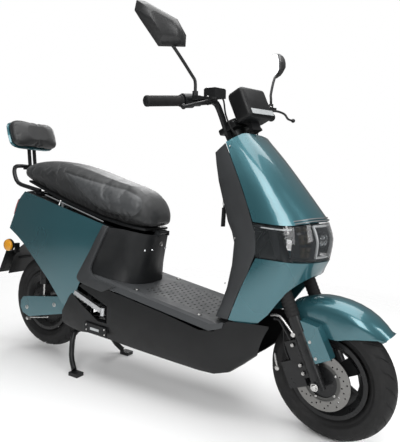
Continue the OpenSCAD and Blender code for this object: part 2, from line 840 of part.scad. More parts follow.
module lever_perches() {
    part(black) steered() for (side = [-1, 1]) {
        difference() {
            union() {
                on_bar(168, side) cylinder(r = 18, h = 24, $fn = 40);
                mirror([0, side < 0 ? 1 : 0, 0]) {
                    translate([-412, 176, 1052]) cube([46, 20, 22]);
                    translate([-398, 190, 1064]) cube([22, 44, 12]);
                }
            }
            on_bar(160, side) cylinder(r = bar_r + fit, h = 60, $fn = 48);
            mirror([0, side < 0 ? 1 : 0, 0]) {
                translate([-386, 168, 1056 - gap]) cube([60, 60, 10 + 2 * gap]);
                translate([lever_pivot[0], lever_pivot[1] - 10, 1040])
                    cylinder(r = 3 + fit, h = 60, $fn = 32);
                translate(mirror_base - [0, 0, 30]) cylinder(r = 5 + fit, h = 60, $fn = 32);
            }
        }
        mirror([0, side < 0 ? 1 : 0, 0])
            translate([lever_pivot[0], lever_pivot[1] - 10, 1050])
                cylinder(r = 3, h = 26, $fn = 32);
    }
    part(black) steered() translate([-396, -178, 1073.6]) cube([46, 56, 28]);
}

module lever_blade() {
    pivot = lever_pivot - [0, 10, 0];
    difference() {
        union() {
            translate(pivot + [0, 0, -4]) cylinder(r = 8, h = 10, $fn = 32);
            tube(spline([pivot + [5, 2, 1], pivot + [18, 24, 0], pivot + [25, 60, -8],
                [-360, 296, 1038], [-352, 320, 1033]], 3), 4.2, 8, [0, 0, 1]);
            translate([-352, 322, 1033]) sphere(r = 8, $fn = 24);
        }
        translate(pivot - [0, 0, 30]) cylinder(r = 3 + fit, h = 60, $fn = 32);
    }
}

module brake_lever_left() {
    part(black) steered() lever_blade();
}

module brake_lever_right() {
    part(black) steered() mirror([0, 1, 0]) lever_blade();
}

// Mirror head: outline in its own plane, outwards and up from its inner end
head_outline = [[-6, 0], [74, -4], [128, 68], [142, 88], [136, 116], [114, 116],
    [18, 74], [-8, 32]];

module mirror_unit(head_at, sweep, tilt, stalk) {
    translate([mirror_base[0], mirror_base[1], 1066]) cylinder(r = 5, h = 18, $fn = 32);
    translate([mirror_base[0], mirror_base[1], 1076 + gap]) cylinder(r = 9, h = 14, $fn = 32);
    tube(spline(concat([[-394, 222, 1086]], stalk), 3), 5, 8, [1, 0, 0]);
    translate(head_at) rotate([0, 0, sweep]) rotate([-tilt, 0, 0])
        translate([-12, 0, 0]) rotate([90, 0, 90]) mirror_shell();
}

module mirror_shell() {
    hull() {
        linear_extrude(3) polygon(head_outline);
        translate([8, 6, 14]) linear_extrude(3) polygon([for (p = head_outline)
            [58 + (p[0] - 66) * 0.6, 50 + (p[1] - 56) * 0.6]]);
    }
}

module mirror_left() {
    part(black) steered() mirror_unit([-405, 312, 1229], 42.9, 12.2,
        [[-395, 222, 1110], [-402, 232, 1132], [-418, 280, 1196], [-433, 337, 1227]]);
}

module mirror_right() {
    part(black) steered() mirror([0, 1, 0]) mirror_unit([-388, 284, 1214], 35, 0,
        [[-395, 222, 1120], [-399, 236, 1140], [-408, 284, 1192], [-414, 314, 1222]]);
}

module control_cables() {
    hose = [[62, -120.6, 948], [54, -97, 936], [36, -86, 896], [31, -74, 845], [34, -50, 800],
        [34, -32, 755], [31, -22, 700], [28, -18, 640]];
    cable = [[34, 174.9, 935], [37, 140, 922], [37, 106, 890], [31, 80, 845], [34, 52, 800],
        [34, 34, 755], [31, 24, 700], [28, 20, 640]];
    part(rubber) on_axis() {
        tube(spline(hose, 3), 3, 8, [1, 0, 0]);
        tube(spline(cable, 3), 3, 8, [1, 0, 0]);
    }
}

// ---- front fork and wheel ----

module fork_sliders() {
    part(black) {
        on_axis() pair() translate([leg_x, leg_y, 0]) difference() {
            translate([0, 0, -24]) cylinder(r = slider_r, h = slider_top + 24, $fn = 48);
            translate([0, 0, 94 - fork_travel])
                cylinder(r = stanchion_r + fit, h = slider_top, $fn = 48);
            translate(axle_local - [leg_x, 0, 0]) across(6 + fit, -60, 60);
        }
        on_axis() {
            translate([leg_x - 58, -leg_y - 12, 74]) cube([43, 12, 66]);
            translate([leg_x - 44, -leg_y - 12, 20]) cube([29, 12, 60]);
        }
    }
    part(silver) {
        on_axis() translate(axle_local) {
            across(6, -leg_y - 26, leg_y + 26);
            pair() difference() {
                across(12, leg_y + slider_r + gap, leg_y + slider_r + 8 + gap);
                across(6 - 1, 0, 200);
            }
        }
        on_axis() for (p = [[-30, 126], [-28, 36], [-28, 62]])
            translate([leg_x + p[0], 0, p[1]]) across(6, -leg_y - 18, -leg_y - 11.9);
    }
}

fender_r = tyre_r + 50;

// Lower edge of the fender's side walls, by the angle round the wheel
function skirt_edge(a) = tyre_r +
    lookup(a, [[44, 40], [50, 7], [61, -29], [76, -64], [100, -64], [108, -50], [120, 14]]);

function fender_row(a) =
    let (narrow = a < 62 ? 0.66 + 0.34 * (a - 44) / 18 : 1,
         half = [[skirt_edge(a), 60], [max(skirt_edge(a) + 2, tyre_r + 14), 60.5],
            [fender_r - 22, 56], [fender_r - 7, 40], [fender_r, 20]],
         row = concat([for (p = half) [p[0], -p[1]]], [[fender_r + 1, 0]],
            [for (i = [len(half) - 1:-1:0]) half[i]]))
    [for (p = row) [p[0] * cos(a), p[1] * narrow, tyre_r + p[0] * sin(a)]];

// Room in the fender for the bellows when the fork is pushed in
module bellows_way() {
    on_axis() pair() translate([leg_x, leg_y, slider_top - fork_travel - 1])
        cylinder(r = slider_r + fold_h + 1, h = fork_travel + 60, $fn = 48);
}

module front_fender() {
    part(teal) {
        difference() {
            steered() skin([for (a = [44:7.4:118]) fender_row(a)], panel_t);
            bellows_way();
        }
        difference() {
            steered() pair() side_plate([[-70, 395], [-10, 388], [38, 298], [-16, 268]],
                59, leg_y + 7);
            on_axis() pair() translate([leg_x, leg_y, -40])
                cylinder(r = slider_r + gap, h = 300, $fn = 48);
            bellows_way();
            steered() translate([0, 0, tyre_r]) across(disc_r + 4, disc_y - 5, -disc_y + 5);
        }
    }
}

module front_caliper() {
    part(black) on_axis() difference() {
        translate([leg_x - 106, -leg_y + gap, -8]) cube([66, 40, 86]);
        translate(axle_local) across(disc_r + 4, disc_y - 5, disc_y + 5);
        translate(axle_local) across(66, -leg_y + 24, -leg_y + 60);
    }
    part(rubber) on_axis() tube(spline([[leg_x - 80, -leg_y + 12, 78 + gap],
        [leg_x - 78, -leg_y + 8, 120], [leg_x - 62, -leg_y + 6, 160],
        [leg_x - 48, -leg_y + 2, 196]], 3), 3, 8);
    part(silver) on_axis() tube([[leg_x - 66, -leg_y - 10, 218], [leg_x - 48, -leg_y - 10, 210],
        [leg_x - 34, -leg_y - 10, 141.6]], 4, 6);
}

// Tyre section: x is the radius, y runs along the axle
function tyre_section(r, w, bead) = [for (a = [-156:12:156])
    let (half = (r - bead) / 2, mid = (r + bead) / 2)
    [mid + half * cos(a), w / 2 * sin(a) * (abs(a) > 110 ? 0.9 : 1)]];

module about_axle() {
    rotate([90, 0, 0]) children();
}

module tyre() {
    about_axle() rotate_extrude($fn = 96) {
        difference() {
            polygon(tyre_section(tyre_r, tyre_w, rim_r));
            polygon(tyre_section(tyre_r - 12, tyre_w - 18, rim_r - 6));
        }
        for (y = [-27.5, 19.5]) translate([rim_r - 4 + gap, y]) square([16, 8]);
    }
}

module rim_ring() {
    half = [[rim_r - 20, 13], [rim_r - 4, 18], [rim_r - 4, 28], [rim_r + 5.5, 29.5],
        [rim_r + 5.5, 32], [rim_r - 8, 32], [rim_r - 26, 16]];
    about_axle() rotate_extrude($fn = 96)
        polygon(concat(half, [for (i = [6:-1:0]) [half[i][0], -half[i][1]]]));
}

// Five broad spokes with windows between them
module spokes(inner, count, thick) {
    about_axle() translate([0, 0, -thick / 2]) difference() {
        cylinder(r = rim_r - 22, h = thick, $fn = 96);
        for (i = [0:count - 1]) rotate(i * 360 / count) translate([0, 0, -1])
            linear_extrude(thick + 2) polygon([[inner + 14, -8], [rim_r - 36, -32],
                [rim_r - 29, 0], [rim_r - 36, 32], [inner + 14, 8]]);
    }
}

module front_wheel_at() {
    steered() translate([0, 0, tyre_r]) children();
}

module front_tyre() {
    part(rubber) front_wheel_at() tyre();
}

disc_y = -62;

module front_rim() {
    part(black) front_wheel_at() difference() {
        union() {
            rim_ring();
            spokes(34, 5, 20);
            across(30, -46, 34);
            across(62, disc_y + 2 + gap, -44);
        }
        across(6 + fit, -90, 90);
    }
}

module brake_disc() {
    part(silver) front_wheel_at() difference() {
        across(disc_r, disc_y - 2, disc_y + 2);
        across(58, disc_y - 5, disc_y + 5);
        for (i = [0:35]) rotate([0, i * 10, 0])
            across(2.6, disc_y - 5, disc_y + 5, [66, 74, 83][i % 3]);
    }
    part(silver) front_wheel_at() difference() {
        across(58 + fit, disc_y - 1, disc_y + 1);
        across(50, disc_y - 5, disc_y + 5);
    }
}

// ---- rear suspension and wheel ----

arm_y = 60;
shock_y = 88;
shock_x = 50;

module swingarm() {
    part(black) {
        difference() {
            union() {
                pair() side_plate([[-34, rear_z - 22], [-34, rear_z + 20], [180, 292],
                    [pivot_x - 20, 292], [pivot_x + 4, 284], [pivot_x + 4, 256], [220, 236],
                    [40, rear_z - 24]], arm_y, arm_y + 10);
                across(18, -78, 78, pivot_x, 270);
                across(14, -arm_y - 1, arm_y + 1, 248, 268);
            }
            across(8 + fit, -100, 100, pivot_x, 270);
            across(axle_r + fit, -100, 100, 0, rear_z);
        }
        pair() across(6, arm_y + 9, shock_y + 10, shock_x, 248);
    }
    part(silver) {
        across(axle_r, -84, 84, 0, rear_z);
        pair() difference() {
            across(14, arm_y + 10 + gap, arm_y + 20, 0, rear_z);
            across(axle_r - 1, -100, 100, 0, rear_z);
        }
    }
}

module swing_covers() {
    outline = [[-72, 228], [-58, 246], [-20, 254], [192, 288], [217, 274], [222, 240],
        [216, 222], [-18, 164], [-58, 176], [-74, 200]];
    part(teal) pair() {
        difference() {
            side_plate(outline, 102, 112);
            translate([75, 0, 226]) scale([0.955, 1, 0.9]) translate([-75, 0, -226])
                side_plate(outline, 94, 109);
        }
        for (p = [[24, 236], [160, 262]]) across(5, arm_y + 10 + gap, 110, p[0], p[1]);
    }
}

shock_top = 500;

module shocks() {
    part(black) pair() {
        translate([shock_x, shock_y, 318]) difference() {
            cylinder(r = shock_r, h = 160, $fn = 40);
            translate([0, 0, -1]) cylinder(r = shock_r - 6, h = 148, $fn = 40);
        }
        difference() {
            across(13, shock_y - 9, shock_y + 9, shock_x, shock_top - 10);
            translate([shock_x, shock_y, 340]) cylinder(r = shock_r - 6, h = 125, $fn = 40);
        }
    }
}

module shock_rods() {
    part(silver) pair() difference() {
        union() {
            translate([shock_x, shock_y, 248]) cylinder(r = 6, h = 160, $fn = 40);
            across(13, shock_y - 7, shock_y + 7, shock_x, 248);
            translate([shock_x, shock_y, 400]) cylinder(r = 11, h = 8, $fn = 40);
        }
        across(6 + fit, 0, 200, shock_x, 248);
    }
}

module rear_tyre() {
    part(rubber) translate([0, 0, rear_z]) tyre();
}

module hub_motor() {
    part(black) translate([0, 0, rear_z]) difference() {
        union() {
            rim_ring();
            about_axle() rotate_extrude($fn = 96) polygon([[0, -50], [60, -50], [74, -38],
                [rim_r - 22, -14], [rim_r - 22, 14], [74, 38], [60, 50], [0, 50]]);
        }
        across(axle_r + fit, -80, 80);
    }
}

// ---- stand, seat, pegs ----

stand_x = 264;
stand_z = 200;

module centre_stand() {
    part(black) {
        difference() {
            across(13, -58, 58, stand_x, stand_z);
            across(6 + fit, -90, 90, stand_x, stand_z);
        }
        pair() {
            tube(spline([[stand_x + 4, 40, stand_z - 15], [262, 68, 160], [254, 106, 143],
                [266, 127, 62], [306, stand_hw - 10, 17]], 3), stand_r, 10);
            translate([300, stand_hw - 22, 0]) cube([46, 36, 14]);
        }
        across(7, -78, 78, 259, 160);
    }
}

// Seat stations: x, bottom, top, half-width
seat_stations = [
    [-122, 786, 814, seat_hw - 62], [-106, 774, 832, seat_hw - 32],
    [-60, 761, 843, seat_hw - 14], [20, 738, 846, seat_hw - 5], [140, 700, 834, seat_hw],
    [280, 661, 803, seat_hw], [370, 639, 777, seat_hw - 3], [470, 621, 753, seat_hw - 11],
    [525, 613, 746, seat_hw - 21], [568, 608, 718, seat_hw - 38],
    [599, 608, 680, seat_hw - 64], [613, 622, 652, seat_hw - 94]
];

function seat_ring(s) = [for (k = [0:23])
    let (a = 15 * k, c = cos(a), v = sin(a), mid = s[1] + (s[2] - s[1]) * 0.42)
    [s[0], -s[3] * sign(c) * pow(abs(c), 0.6),
     v > 0 ? mid + (s[2] - mid) * pow(v, 0.75) : mid - (mid - s[1]) * pow(-v, 0.5)]];

module seat_cushion() {
    part(charcoal) loft([for (s = spline(seat_stations, 2)) seat_ring(s)]);
}

hinge = [597, 592];

module seat_pan() {
    inset = 20;
    rings = [for (i = [2:9]) let (s = seat_stations[i], w = s[3] - inset, z = s[1] - 0.9)
        [[s[0], -w, z - pan_t], [s[0], -w, z], [s[0], w, z], [s[0], w, z - pan_t]]];
    part(black) {
        loft(rings);
        difference() {
            union() {
                across(7, -24, 24, hinge[0], hinge[1]);
                translate([560, -24, 594]) cube([38, 48, 8]);
            }
            across(4 + fit, -40, 40, hinge[0], hinge[1]);
        }
    }
}

module footpeg() {
    along(peg_pivot + [-8, 2, 4], [300, 158, 336]) {
        translate([-9, -6, 0]) cube([18, 14, 145]);
        for (i = [1:6]) translate([-10, -7, 20 * i]) cube([20, 16, 4]);
    }
    translate(peg_pivot - [0, 0, 14]) difference() {
        cylinder(r = 11, h = 30, $fn = 32);
        translate([0, 0, -1]) cylinder(r = 4 + fit, h = 40, $fn = 32);
    }
}

module footpeg_left() {
    part(silver) footpeg();
}

module footpeg_right() {
    part(silver) mirror([0, 1, 0]) footpeg();
}

frame_front();
frame_rear();
battery_pack();
motor_controller();
floor_board();
inner_leg_shield();
front_shield();
front_apron();
headlight_housing();
headlight_lens();
chrome_trim();
side_panels();
under_seat_cover();
storage_bucket();
tail_cover();
tail_light();
skirts();
belly_pan();
rear_mudguard();
indicators();
grab_rail();
backrest_stem();
backrest_shell();
backrest_pad();
ignition_lock();
key();
key_fob();
steering_stem();
fork_stanchions();
fork_bellows();
handlebar();
display_pod();
display_face();
left_grip();
throttle_grip();
switch_pods();
lever_perches();
brake_lever_right();
brake_lever_left();
horn_button();
mirror_right();
mirror_left();
control_cables();
fork_sliders();
front_fender();
front_caliper();
front_tyre();
front_rim();
brake_disc();
swingarm();
swing_covers();
shocks();
shock_rods();
rear_tyre();
hub_motor();
centre_stand();
seat_cushion();
seat_pan();
footpeg_left();
footpeg_right();
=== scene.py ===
"""Electric moped scooter on its centre stand: paint, moulded plastic, soft seat, fittings, light and camera.

Lengths here are metres in the frame's own axes, +X forward, +Y to the rider's left, +Z up.
Places on the scooter are given in millimetres from the rear axle at ground level, as on a drawing,
and at(), steered() and on_axis() turn them into the frame's metres.
"""
import json
import math

import bmesh
import bpy
import numpy as np
from mathutils import Matrix, Vector


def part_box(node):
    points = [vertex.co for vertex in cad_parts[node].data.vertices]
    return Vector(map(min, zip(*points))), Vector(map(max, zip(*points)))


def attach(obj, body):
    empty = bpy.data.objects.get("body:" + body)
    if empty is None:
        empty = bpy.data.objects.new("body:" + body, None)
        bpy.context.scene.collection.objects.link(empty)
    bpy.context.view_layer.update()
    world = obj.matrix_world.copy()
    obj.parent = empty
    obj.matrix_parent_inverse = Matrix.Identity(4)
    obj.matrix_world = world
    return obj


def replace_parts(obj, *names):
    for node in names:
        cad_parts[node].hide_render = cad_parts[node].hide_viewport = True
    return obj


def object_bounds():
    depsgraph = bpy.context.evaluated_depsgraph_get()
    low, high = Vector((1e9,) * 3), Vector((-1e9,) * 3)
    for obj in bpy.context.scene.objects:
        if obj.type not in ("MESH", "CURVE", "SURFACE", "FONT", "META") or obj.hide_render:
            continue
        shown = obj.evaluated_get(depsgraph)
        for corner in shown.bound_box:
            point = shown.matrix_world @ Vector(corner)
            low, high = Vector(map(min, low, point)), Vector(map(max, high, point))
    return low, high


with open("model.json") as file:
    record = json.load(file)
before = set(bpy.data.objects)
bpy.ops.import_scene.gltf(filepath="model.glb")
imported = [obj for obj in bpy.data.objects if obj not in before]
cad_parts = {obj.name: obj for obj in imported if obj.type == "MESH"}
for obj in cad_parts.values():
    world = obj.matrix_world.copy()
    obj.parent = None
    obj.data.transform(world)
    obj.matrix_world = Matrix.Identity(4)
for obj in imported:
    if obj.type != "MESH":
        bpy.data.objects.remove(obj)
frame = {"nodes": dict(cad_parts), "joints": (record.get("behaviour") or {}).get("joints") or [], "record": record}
cad_low, cad_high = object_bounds()
nodes = frame["nodes"]
joints = {j["name"]: j for j in frame["joints"]}

# ---- places ----

MM = 0.001
WHEELBASE = 1280.0
RAKE = math.radians(26)
STEER = math.radians(-10)
AXIS_BACK = 16.0
TYRE_R = 207.0
TYRE_W = 84.0
RIM_R = 127.0
BASE = Vector((joints["rear_wheel_spin"]["pos_m"][0], joints["rear_wheel_spin"]["pos_m"][1], 0))
HEAD = Vector(joints["steering"]["pos_m"])
HEAD_AXIS = Vector(joints["steering"]["axis"]).normalized()
TURNED = Matrix.Translation(HEAD) @ Matrix.Rotation(STEER, 4, HEAD_AXIS) @ Matrix.Translation(-HEAD)


def at(x, y, z):
    """A place from the rear axle at ground level, in millimetres."""
    return BASE + Vector((x, y, z)) * MM


def steered(x, y, z):
    """A place from the front axle at ground level, drawn straight ahead, turned with the wheel."""
    return TURNED @ at(WHEELBASE + x, y, z)


def on_axis(x, y, z):
    """A place along the steering axis, x forward of it, z up along it from the axle's height."""
    c, s = math.cos(RAKE), math.sin(RAKE)
    return steered(-AXIS_BACK + x * c - z * s, y, TYRE_R + x * s + z * c)


def steered_way(x, y, z):
    """A direction drawn straight ahead, turned with the wheel."""
    return (TURNED.to_3x3() @ Vector((x, y, z))).normalized()


def axis_way(x, y, z):
    """A direction in the steering axis's own axes."""
    c, s = math.cos(RAKE), math.sin(RAKE)
    return steered_way(x * c - z * s, y, x * s + z * c)


def bar_at(y):
    """A place on the handlebar's centre line, by its distance from the middle."""
    t = (abs(y) - 232) / 120
    return steered(-440 - 32 * t, y, 1063 - 10 * t)


# ---- materials ----


class Surface:
    """A Principled material whose colour, roughness and relief come from texture nodes."""

    def __init__(self, name, color, roughness, **sockets):
        self.material = bpy.data.materials.new(name)
        self.material.use_nodes = True
        self.tree = self.material.node_tree
        self.tree.nodes.clear()
        self.out = self.node("OutputMaterial")
        self.shader = self.node("BsdfPrincipled")
        self.link(self.shader.outputs[0], self.out.inputs[0])
        self.shader.inputs["Base Color"].default_value = (*color, 1)
        self.shader.inputs["Roughness"].default_value = roughness
        for key, value in sockets.items():
            self.shader.inputs[key.replace("_", " ").title().replace("Ior", "IOR")].default_value = value
        self.place = self.node("TexCoord").outputs["Object"]
        self.relief = None

    def node(self, kind, **settings):
        n = self.tree.nodes.new("ShaderNode" + kind)
        for key, value in settings.items():
            setattr(n, key, value)
        return n

    def link(self, a, b):
        self.tree.links.new(a, b)

    def math(self, operation, a, b=None, c=None):
        n = self.node("Math", operation=operation)
        for socket, value in zip(n.inputs, (a, b, c)):
            self.feed(socket, value)
        return n.outputs[0]

    def feed(self, socket, value):
        if value is None:
            return
        if isinstance(value, bpy.types.NodeSocket):
            self.link(value, socket)
        else:
            socket.default_value = value

    def noise(self, scale, detail=4.0, roughness=0.55, place=None):
        n = self.node("TexNoise")
        n.inputs["Scale"].default_value = scale
        n.inputs["Detail"].default_value = detail
        n.inputs["Roughness"].default_value = roughness
        self.link(place or self.place, n.inputs["Vector"])
        return n.outputs["Fac"]

    def cells(self, scale, feature="F1", place=None, output="Distance"):
        n = self.node("TexVoronoi", feature=feature)
        n.inputs["Scale"].default_value = scale
        self.link(place or self.place, n.inputs["Vector"])
        return n.outputs[output]

    def spread(self, value, low, high, to_low=0.0, to_high=1.0):
        n = self.node("MapRange")
        for socket, v in zip(n.inputs, (value, low, high, to_low, to_high)):
            self.feed(socket, v)
        return n.outputs[0]

    def blend(self, amount, first, second, how="MIX"):
        n = self.node("Mix", data_type="RGBA", blend_type=how)
        self.feed(n.inputs[0], amount)
        for socket, c in ((n.inputs[6], first), (n.inputs[7], second)):
            self.feed(socket, (*c, 1) if isinstance(c, tuple) and len(c) == 3 else c)
        return n.outputs[2]

    def color(self, value):
        self.link(value, self.shader.inputs["Base Color"])
        return self

    def roughness(self, value):
        self.link(value, self.shader.inputs["Roughness"])
        return self

    def bump(self, height, depth, strength=1.0):
        """Adds relief, depth in millimetres."""
        n = self.node("Bump")
        n.inputs["Distance"].default_value = depth * MM
        n.inputs["Strength"].default_value = strength
        self.link(height, n.inputs["Height"])
        if self.relief:
            self.link(self.relief, n.inputs["Normal"])
        self.relief = n.outputs[0]
        self.link(self.relief, self.shader.inputs["Normal"])
        return self

    def worn_edge(self, amount=0.5):
        """How much the surface is a raised edge, 0 to 1, from its shape."""
        geometry = self.node("NewGeometry")
        return self.spread(geometry.outputs["Pointiness"], 0.53, 0.62, 0.0, amount)


def lighter(color, share):
    return tuple(min(1.0, c * (1 + share)) for c in color)


TEAL = (0.030, 0.112, 0.134)
CHARCOAL = (0.034, 0.036, 0.038)
BLACK = (0.0062, 0.0066, 0.007)


def paint():
    """Metallic lacquer: fine flakes under a clear coat, a little orange peel."""
    s = Surface("teal_lacquer", TEAL, 0.3, metallic=0.55, coat_weight=1.0, coat_roughness=0.035,
                coat_ior=1.5, specular_ior_level=0.5)
    flake = s.cells(2600, output="Color")
    s.color(s.blend(s.spread(flake, 0.2, 0.9, 0.0, 0.30), TEAL, lighter(TEAL, 0.6)))
    s.roughness(s.spread(s.noise(5, 2), 0.3, 0.7, 0.24, 0.34))
    return s.bump(s.noise(55, 1), 0.05, 0.12).material


def moulded(name, color, rough, grain, depth, edge=0.35):
    """Moulded plastic with a leathery grain, edges rubbed paler."""
    s = Surface(name, color, rough, specular_ior_level=0.3)
    patchy = s.noise(9, 5)
    tone = s.blend(s.spread(patchy, 0.35, 0.68), lighter(color, -0.12), lighter(color, 0.14))
    s.color(s.blend(s.worn_edge(edge), tone, lighter(color, 1.2)))
    s.roughness(s.spread(s.noise(26, 6), 0.3, 0.7, rough - 0.07, rough + 0.08))
    s.bump(s.cells(grain, "SMOOTH_F1"), depth, 0.55)
    return s.bump(s.noise(grain * 2.2, 2), depth * 0.5, 0.35).material


def rubber(name, color, rough=0.66, dust=0.35):
    """Rubber with a faint bloom of dust and a fine skin."""
    s = Surface(name, color, rough, specular_ior_level=0.25)
    bloom = s.spread(s.noise(14, 7, 0.62), 0.48, 0.75, 0.0, dust)
    s.color(s.blend(bloom, color, (0.022, 0.021, 0.020)))
    s.roughness(s.spread(s.noise(40, 4), 0.3, 0.7, rough - 0.09, rough + 0.09))
    return s.bump(s.noise(900, 3), 0.12, 0.5).material


def metal(name, color, rough, streak=(900.0, 60.0, 60.0), wear=0.06):
    """Brushed or cast metal, streaked one way, with a few darker smears."""
    s = Surface(name, color, rough, metallic=1.0)
    mapping = s.node("Mapping")
    mapping.inputs["Scale"].default_value = streak
    s.link(s.place, mapping.inputs["Vector"])
    lines = s.noise(1.0, 3, 0.6, mapping.outputs[0])
    smears = s.spread(s.noise(30, 5), 0.4, 0.75, 0.0, wear * 4)
    s.color(s.blend(smears, color, lighter(color, -0.45)))
    s.roughness(s.spread(lines, 0.3, 0.7, max(rough - 0.08, 0.03), rough + 0.1))
    return s.bump(lines, 0.03, 0.3).material


def disc_steel():
    """Steel turned on a lathe: rings about the wheel's own axis, darker where the pads run."""
    s = Surface("disc_steel", (0.2, 0.197, 0.19), 0.33, metallic=1.0)
    centre = Vector(joints["front_wheel_spin"]["pos_m"])
    turn = Matrix.Rotation(-STEER, 3, HEAD_AXIS)
    mapping = s.node("Mapping", vector_type="TEXTURE")
    mapping.inputs["Location"].default_value = centre
    mapping.inputs["Rotation"].default_value = turn.inverted().to_euler()
    s.link(s.place, mapping.inputs["Vector"])
    split = s.node("SeparateXYZ")
    s.link(mapping.outputs[0], split.inputs[0])
    across = s.math("MULTIPLY", split.outputs[0], split.outputs[0])
    up = s.math("MULTIPLY", split.outputs[2], split.outputs[2])
    radius = s.math("SQRT", s.math("ADD", across, up))
    ring = s.node("CombineXYZ")
    s.link(radius, ring.inputs[0])
    rings = s.noise(1500, 4, 0.65, ring.outputs[0])
    track = s.spread(radius, 0.060, 0.064, 0.0, 1.0)
    tone = s.blend(s.spread(rings, 0.3, 0.7), (0.15, 0.147, 0.14), (0.27, 0.266, 0.258))
    s.color(s.blend(track, (0.09, 0.09, 0.087), tone))
    s.roughness(s.spread(rings, 0.3, 0.7, 0.27, 0.42))
    return s.bump(rings, 0.05, 0.35).material


# Painted sheen: the paler tone of the seat's upper panel stands in for the light its top catches; SEAT_TONE is the
# cover's own colour.
PAINTED_SHEEN_TONE = (0.040, 0.0425, 0.0445)
SEAT_TONE = (0.017, 0.0182, 0.019)


def seat_vinyl():
    """Seat cover split where the "leaf" attribute changes sign, with stitches along it: the panel inside is
    painted paler as sheen, and the rest has the cover's own tone.
    """
    s = Surface("seat_vinyl", SEAT_TONE, 0.5, specular_ior_level=0.45, sheen_weight=0.12,
                sheen_roughness=0.5)
    leaf = s.node("Attribute", attribute_name="leaf")
    inside = s.spread(leaf.outputs["Fac"], -0.0006, 0.0006)
    mottle = s.spread(s.noise(11, 6), 0.3, 0.7)
    dark = s.blend(mottle, lighter(SEAT_TONE, -0.12), lighter(SEAT_TONE, 0.16))
    # painted sheen: the panel is painted paler than the cover
    painted_sheen = s.blend(mottle, lighter(PAINTED_SHEEN_TONE, -0.08), lighter(PAINTED_SHEEN_TONE, 0.12))
    s.color(s.blend(inside, dark, painted_sheen))
    rough = s.spread(s.noise(40, 5), 0.3, 0.7, -0.05, 0.06)
    s.roughness(s.math("ADD", rough, s.spread(inside, 0, 1, 0.46, 0.40)))
    creases = s.cells(620, "SMOOTH_F1")
    pebble = s.cells(1300, "F1")
    s.bump(creases, 0.35, 0.5)
    s.bump(pebble, 0.16, 0.4)
    return s.bump(s.noise(24, 5), 1.1, 0.25).material


def pad_vinyl():
    s = Surface("pad_vinyl", (0.012, 0.0125, 0.013), 0.42, specular_ior_level=0.5, sheen_weight=0.1)
    tone = s.spread(s.noise(14, 5), 0.3, 0.7)
    s.color(s.blend(tone, (0.010, 0.0105, 0.011), (0.018, 0.0185, 0.019)))
    s.roughness(s.spread(s.noise(34, 5), 0.3, 0.7, 0.36, 0.5))
    s.bump(s.cells(700, "SMOOTH_F1"), 0.3, 0.5)
    return s.bump(s.noise(22, 4), 1.2, 0.3).material


def lens(name, color, alpha, rough=0.03):
    """Thin clear moulding: see-through face on, glossier and denser edge on."""
    s = Surface(name, color, rough, specular_ior_level=0.6, coat_weight=1.0, coat_roughness=0.02)
    facing = s.node("LayerWeight")
    facing.inputs["Blend"].default_value = 0.35
    haze = s.spread(s.noise(7, 3), 0.3, 0.7, 0.0, 0.05)
    dense = s.spread(facing.outputs["Facing"], 0.0, 1.0, alpha, min(alpha + 0.45, 1.0))
    s.link(s.math("ADD", dense, haze), s.shader.inputs["Alpha"])
    s.roughness(s.spread(s.noise(60, 3), 0.3, 0.7, rough, rough + 0.05))
    return s.bump(s.noise(18, 2), 0.2, 0.1).material


def ribbed_lens(name, color, pitch, depth):
    """Coloured lens with a grid of small prisms moulded in."""
    s = Surface(name, color, 0.14, coat_weight=1.0, coat_roughness=0.04, subsurface_weight=0.15)
    split = s.node("SeparateXYZ")
    s.link(s.place, split.inputs[0])
    turn = 2 * math.pi / (pitch * MM)
    rows = s.math("SINE", s.math("MULTIPLY", split.outputs[2], turn))
    columns = s.math("SINE", s.math("MULTIPLY", s.math("ADD", split.outputs[0], split.outputs[1]), turn))
    prisms = s.spread(s.math("ADD", rows, columns), -2, 2)
    s.color(s.blend(prisms, lighter(color, -0.35), lighter(color, 0.35)))
    s.roughness(s.spread(s.noise(30, 3), 0.3, 0.7, 0.09, 0.2))
    return s.bump(prisms, depth, 0.8).material


def carbon():
    """Twill weave under gloss lacquer, as on the backs of the mirrors."""
    s = Surface("carbon_weave", (0.03, 0.031, 0.033), 0.3, coat_weight=0.15, coat_roughness=0.2)
    checks = s.node("TexChecker")
    checks.inputs["Scale"].default_value = 420
    mapping = s.node("Mapping")
    mapping.inputs["Rotation"].default_value = (0.3, 0.5, math.radians(45))
    s.link(s.place, mapping.inputs["Vector"])
    s.link(mapping.outputs[0], checks.inputs["Vector"])
    tow = s.noise(900, 2, 0.5, mapping.outputs[0])
    tone = s.blend(checks.outputs["Fac"], (0.006, 0.0063, 0.0066), (0.020, 0.0205, 0.0215))
    s.color(s.blend(s.spread(tow, 0.35, 0.65, 0.0, 0.3), tone, (0.014, 0.0145, 0.015)))
    s.roughness(s.spread(checks.outputs["Fac"], 0, 1, 0.40, 0.46))
    return s.bump(s.noise(60, 2), 0.1, 0.1).material


def glow(name, color, strength, rough=0.3):
    """Frosted light guide, faintly lit through."""
    s = Surface(name, color, rough, emission_strength=strength)
    s.shader.inputs["Emission Color"].default_value = (*color, 1)
    s.color(s.blend(s.spread(s.noise(80, 3), 0.3, 0.7), lighter(color, -0.12), color))
    return s.bump(s.noise(200, 2), 0.1, 0.3).material


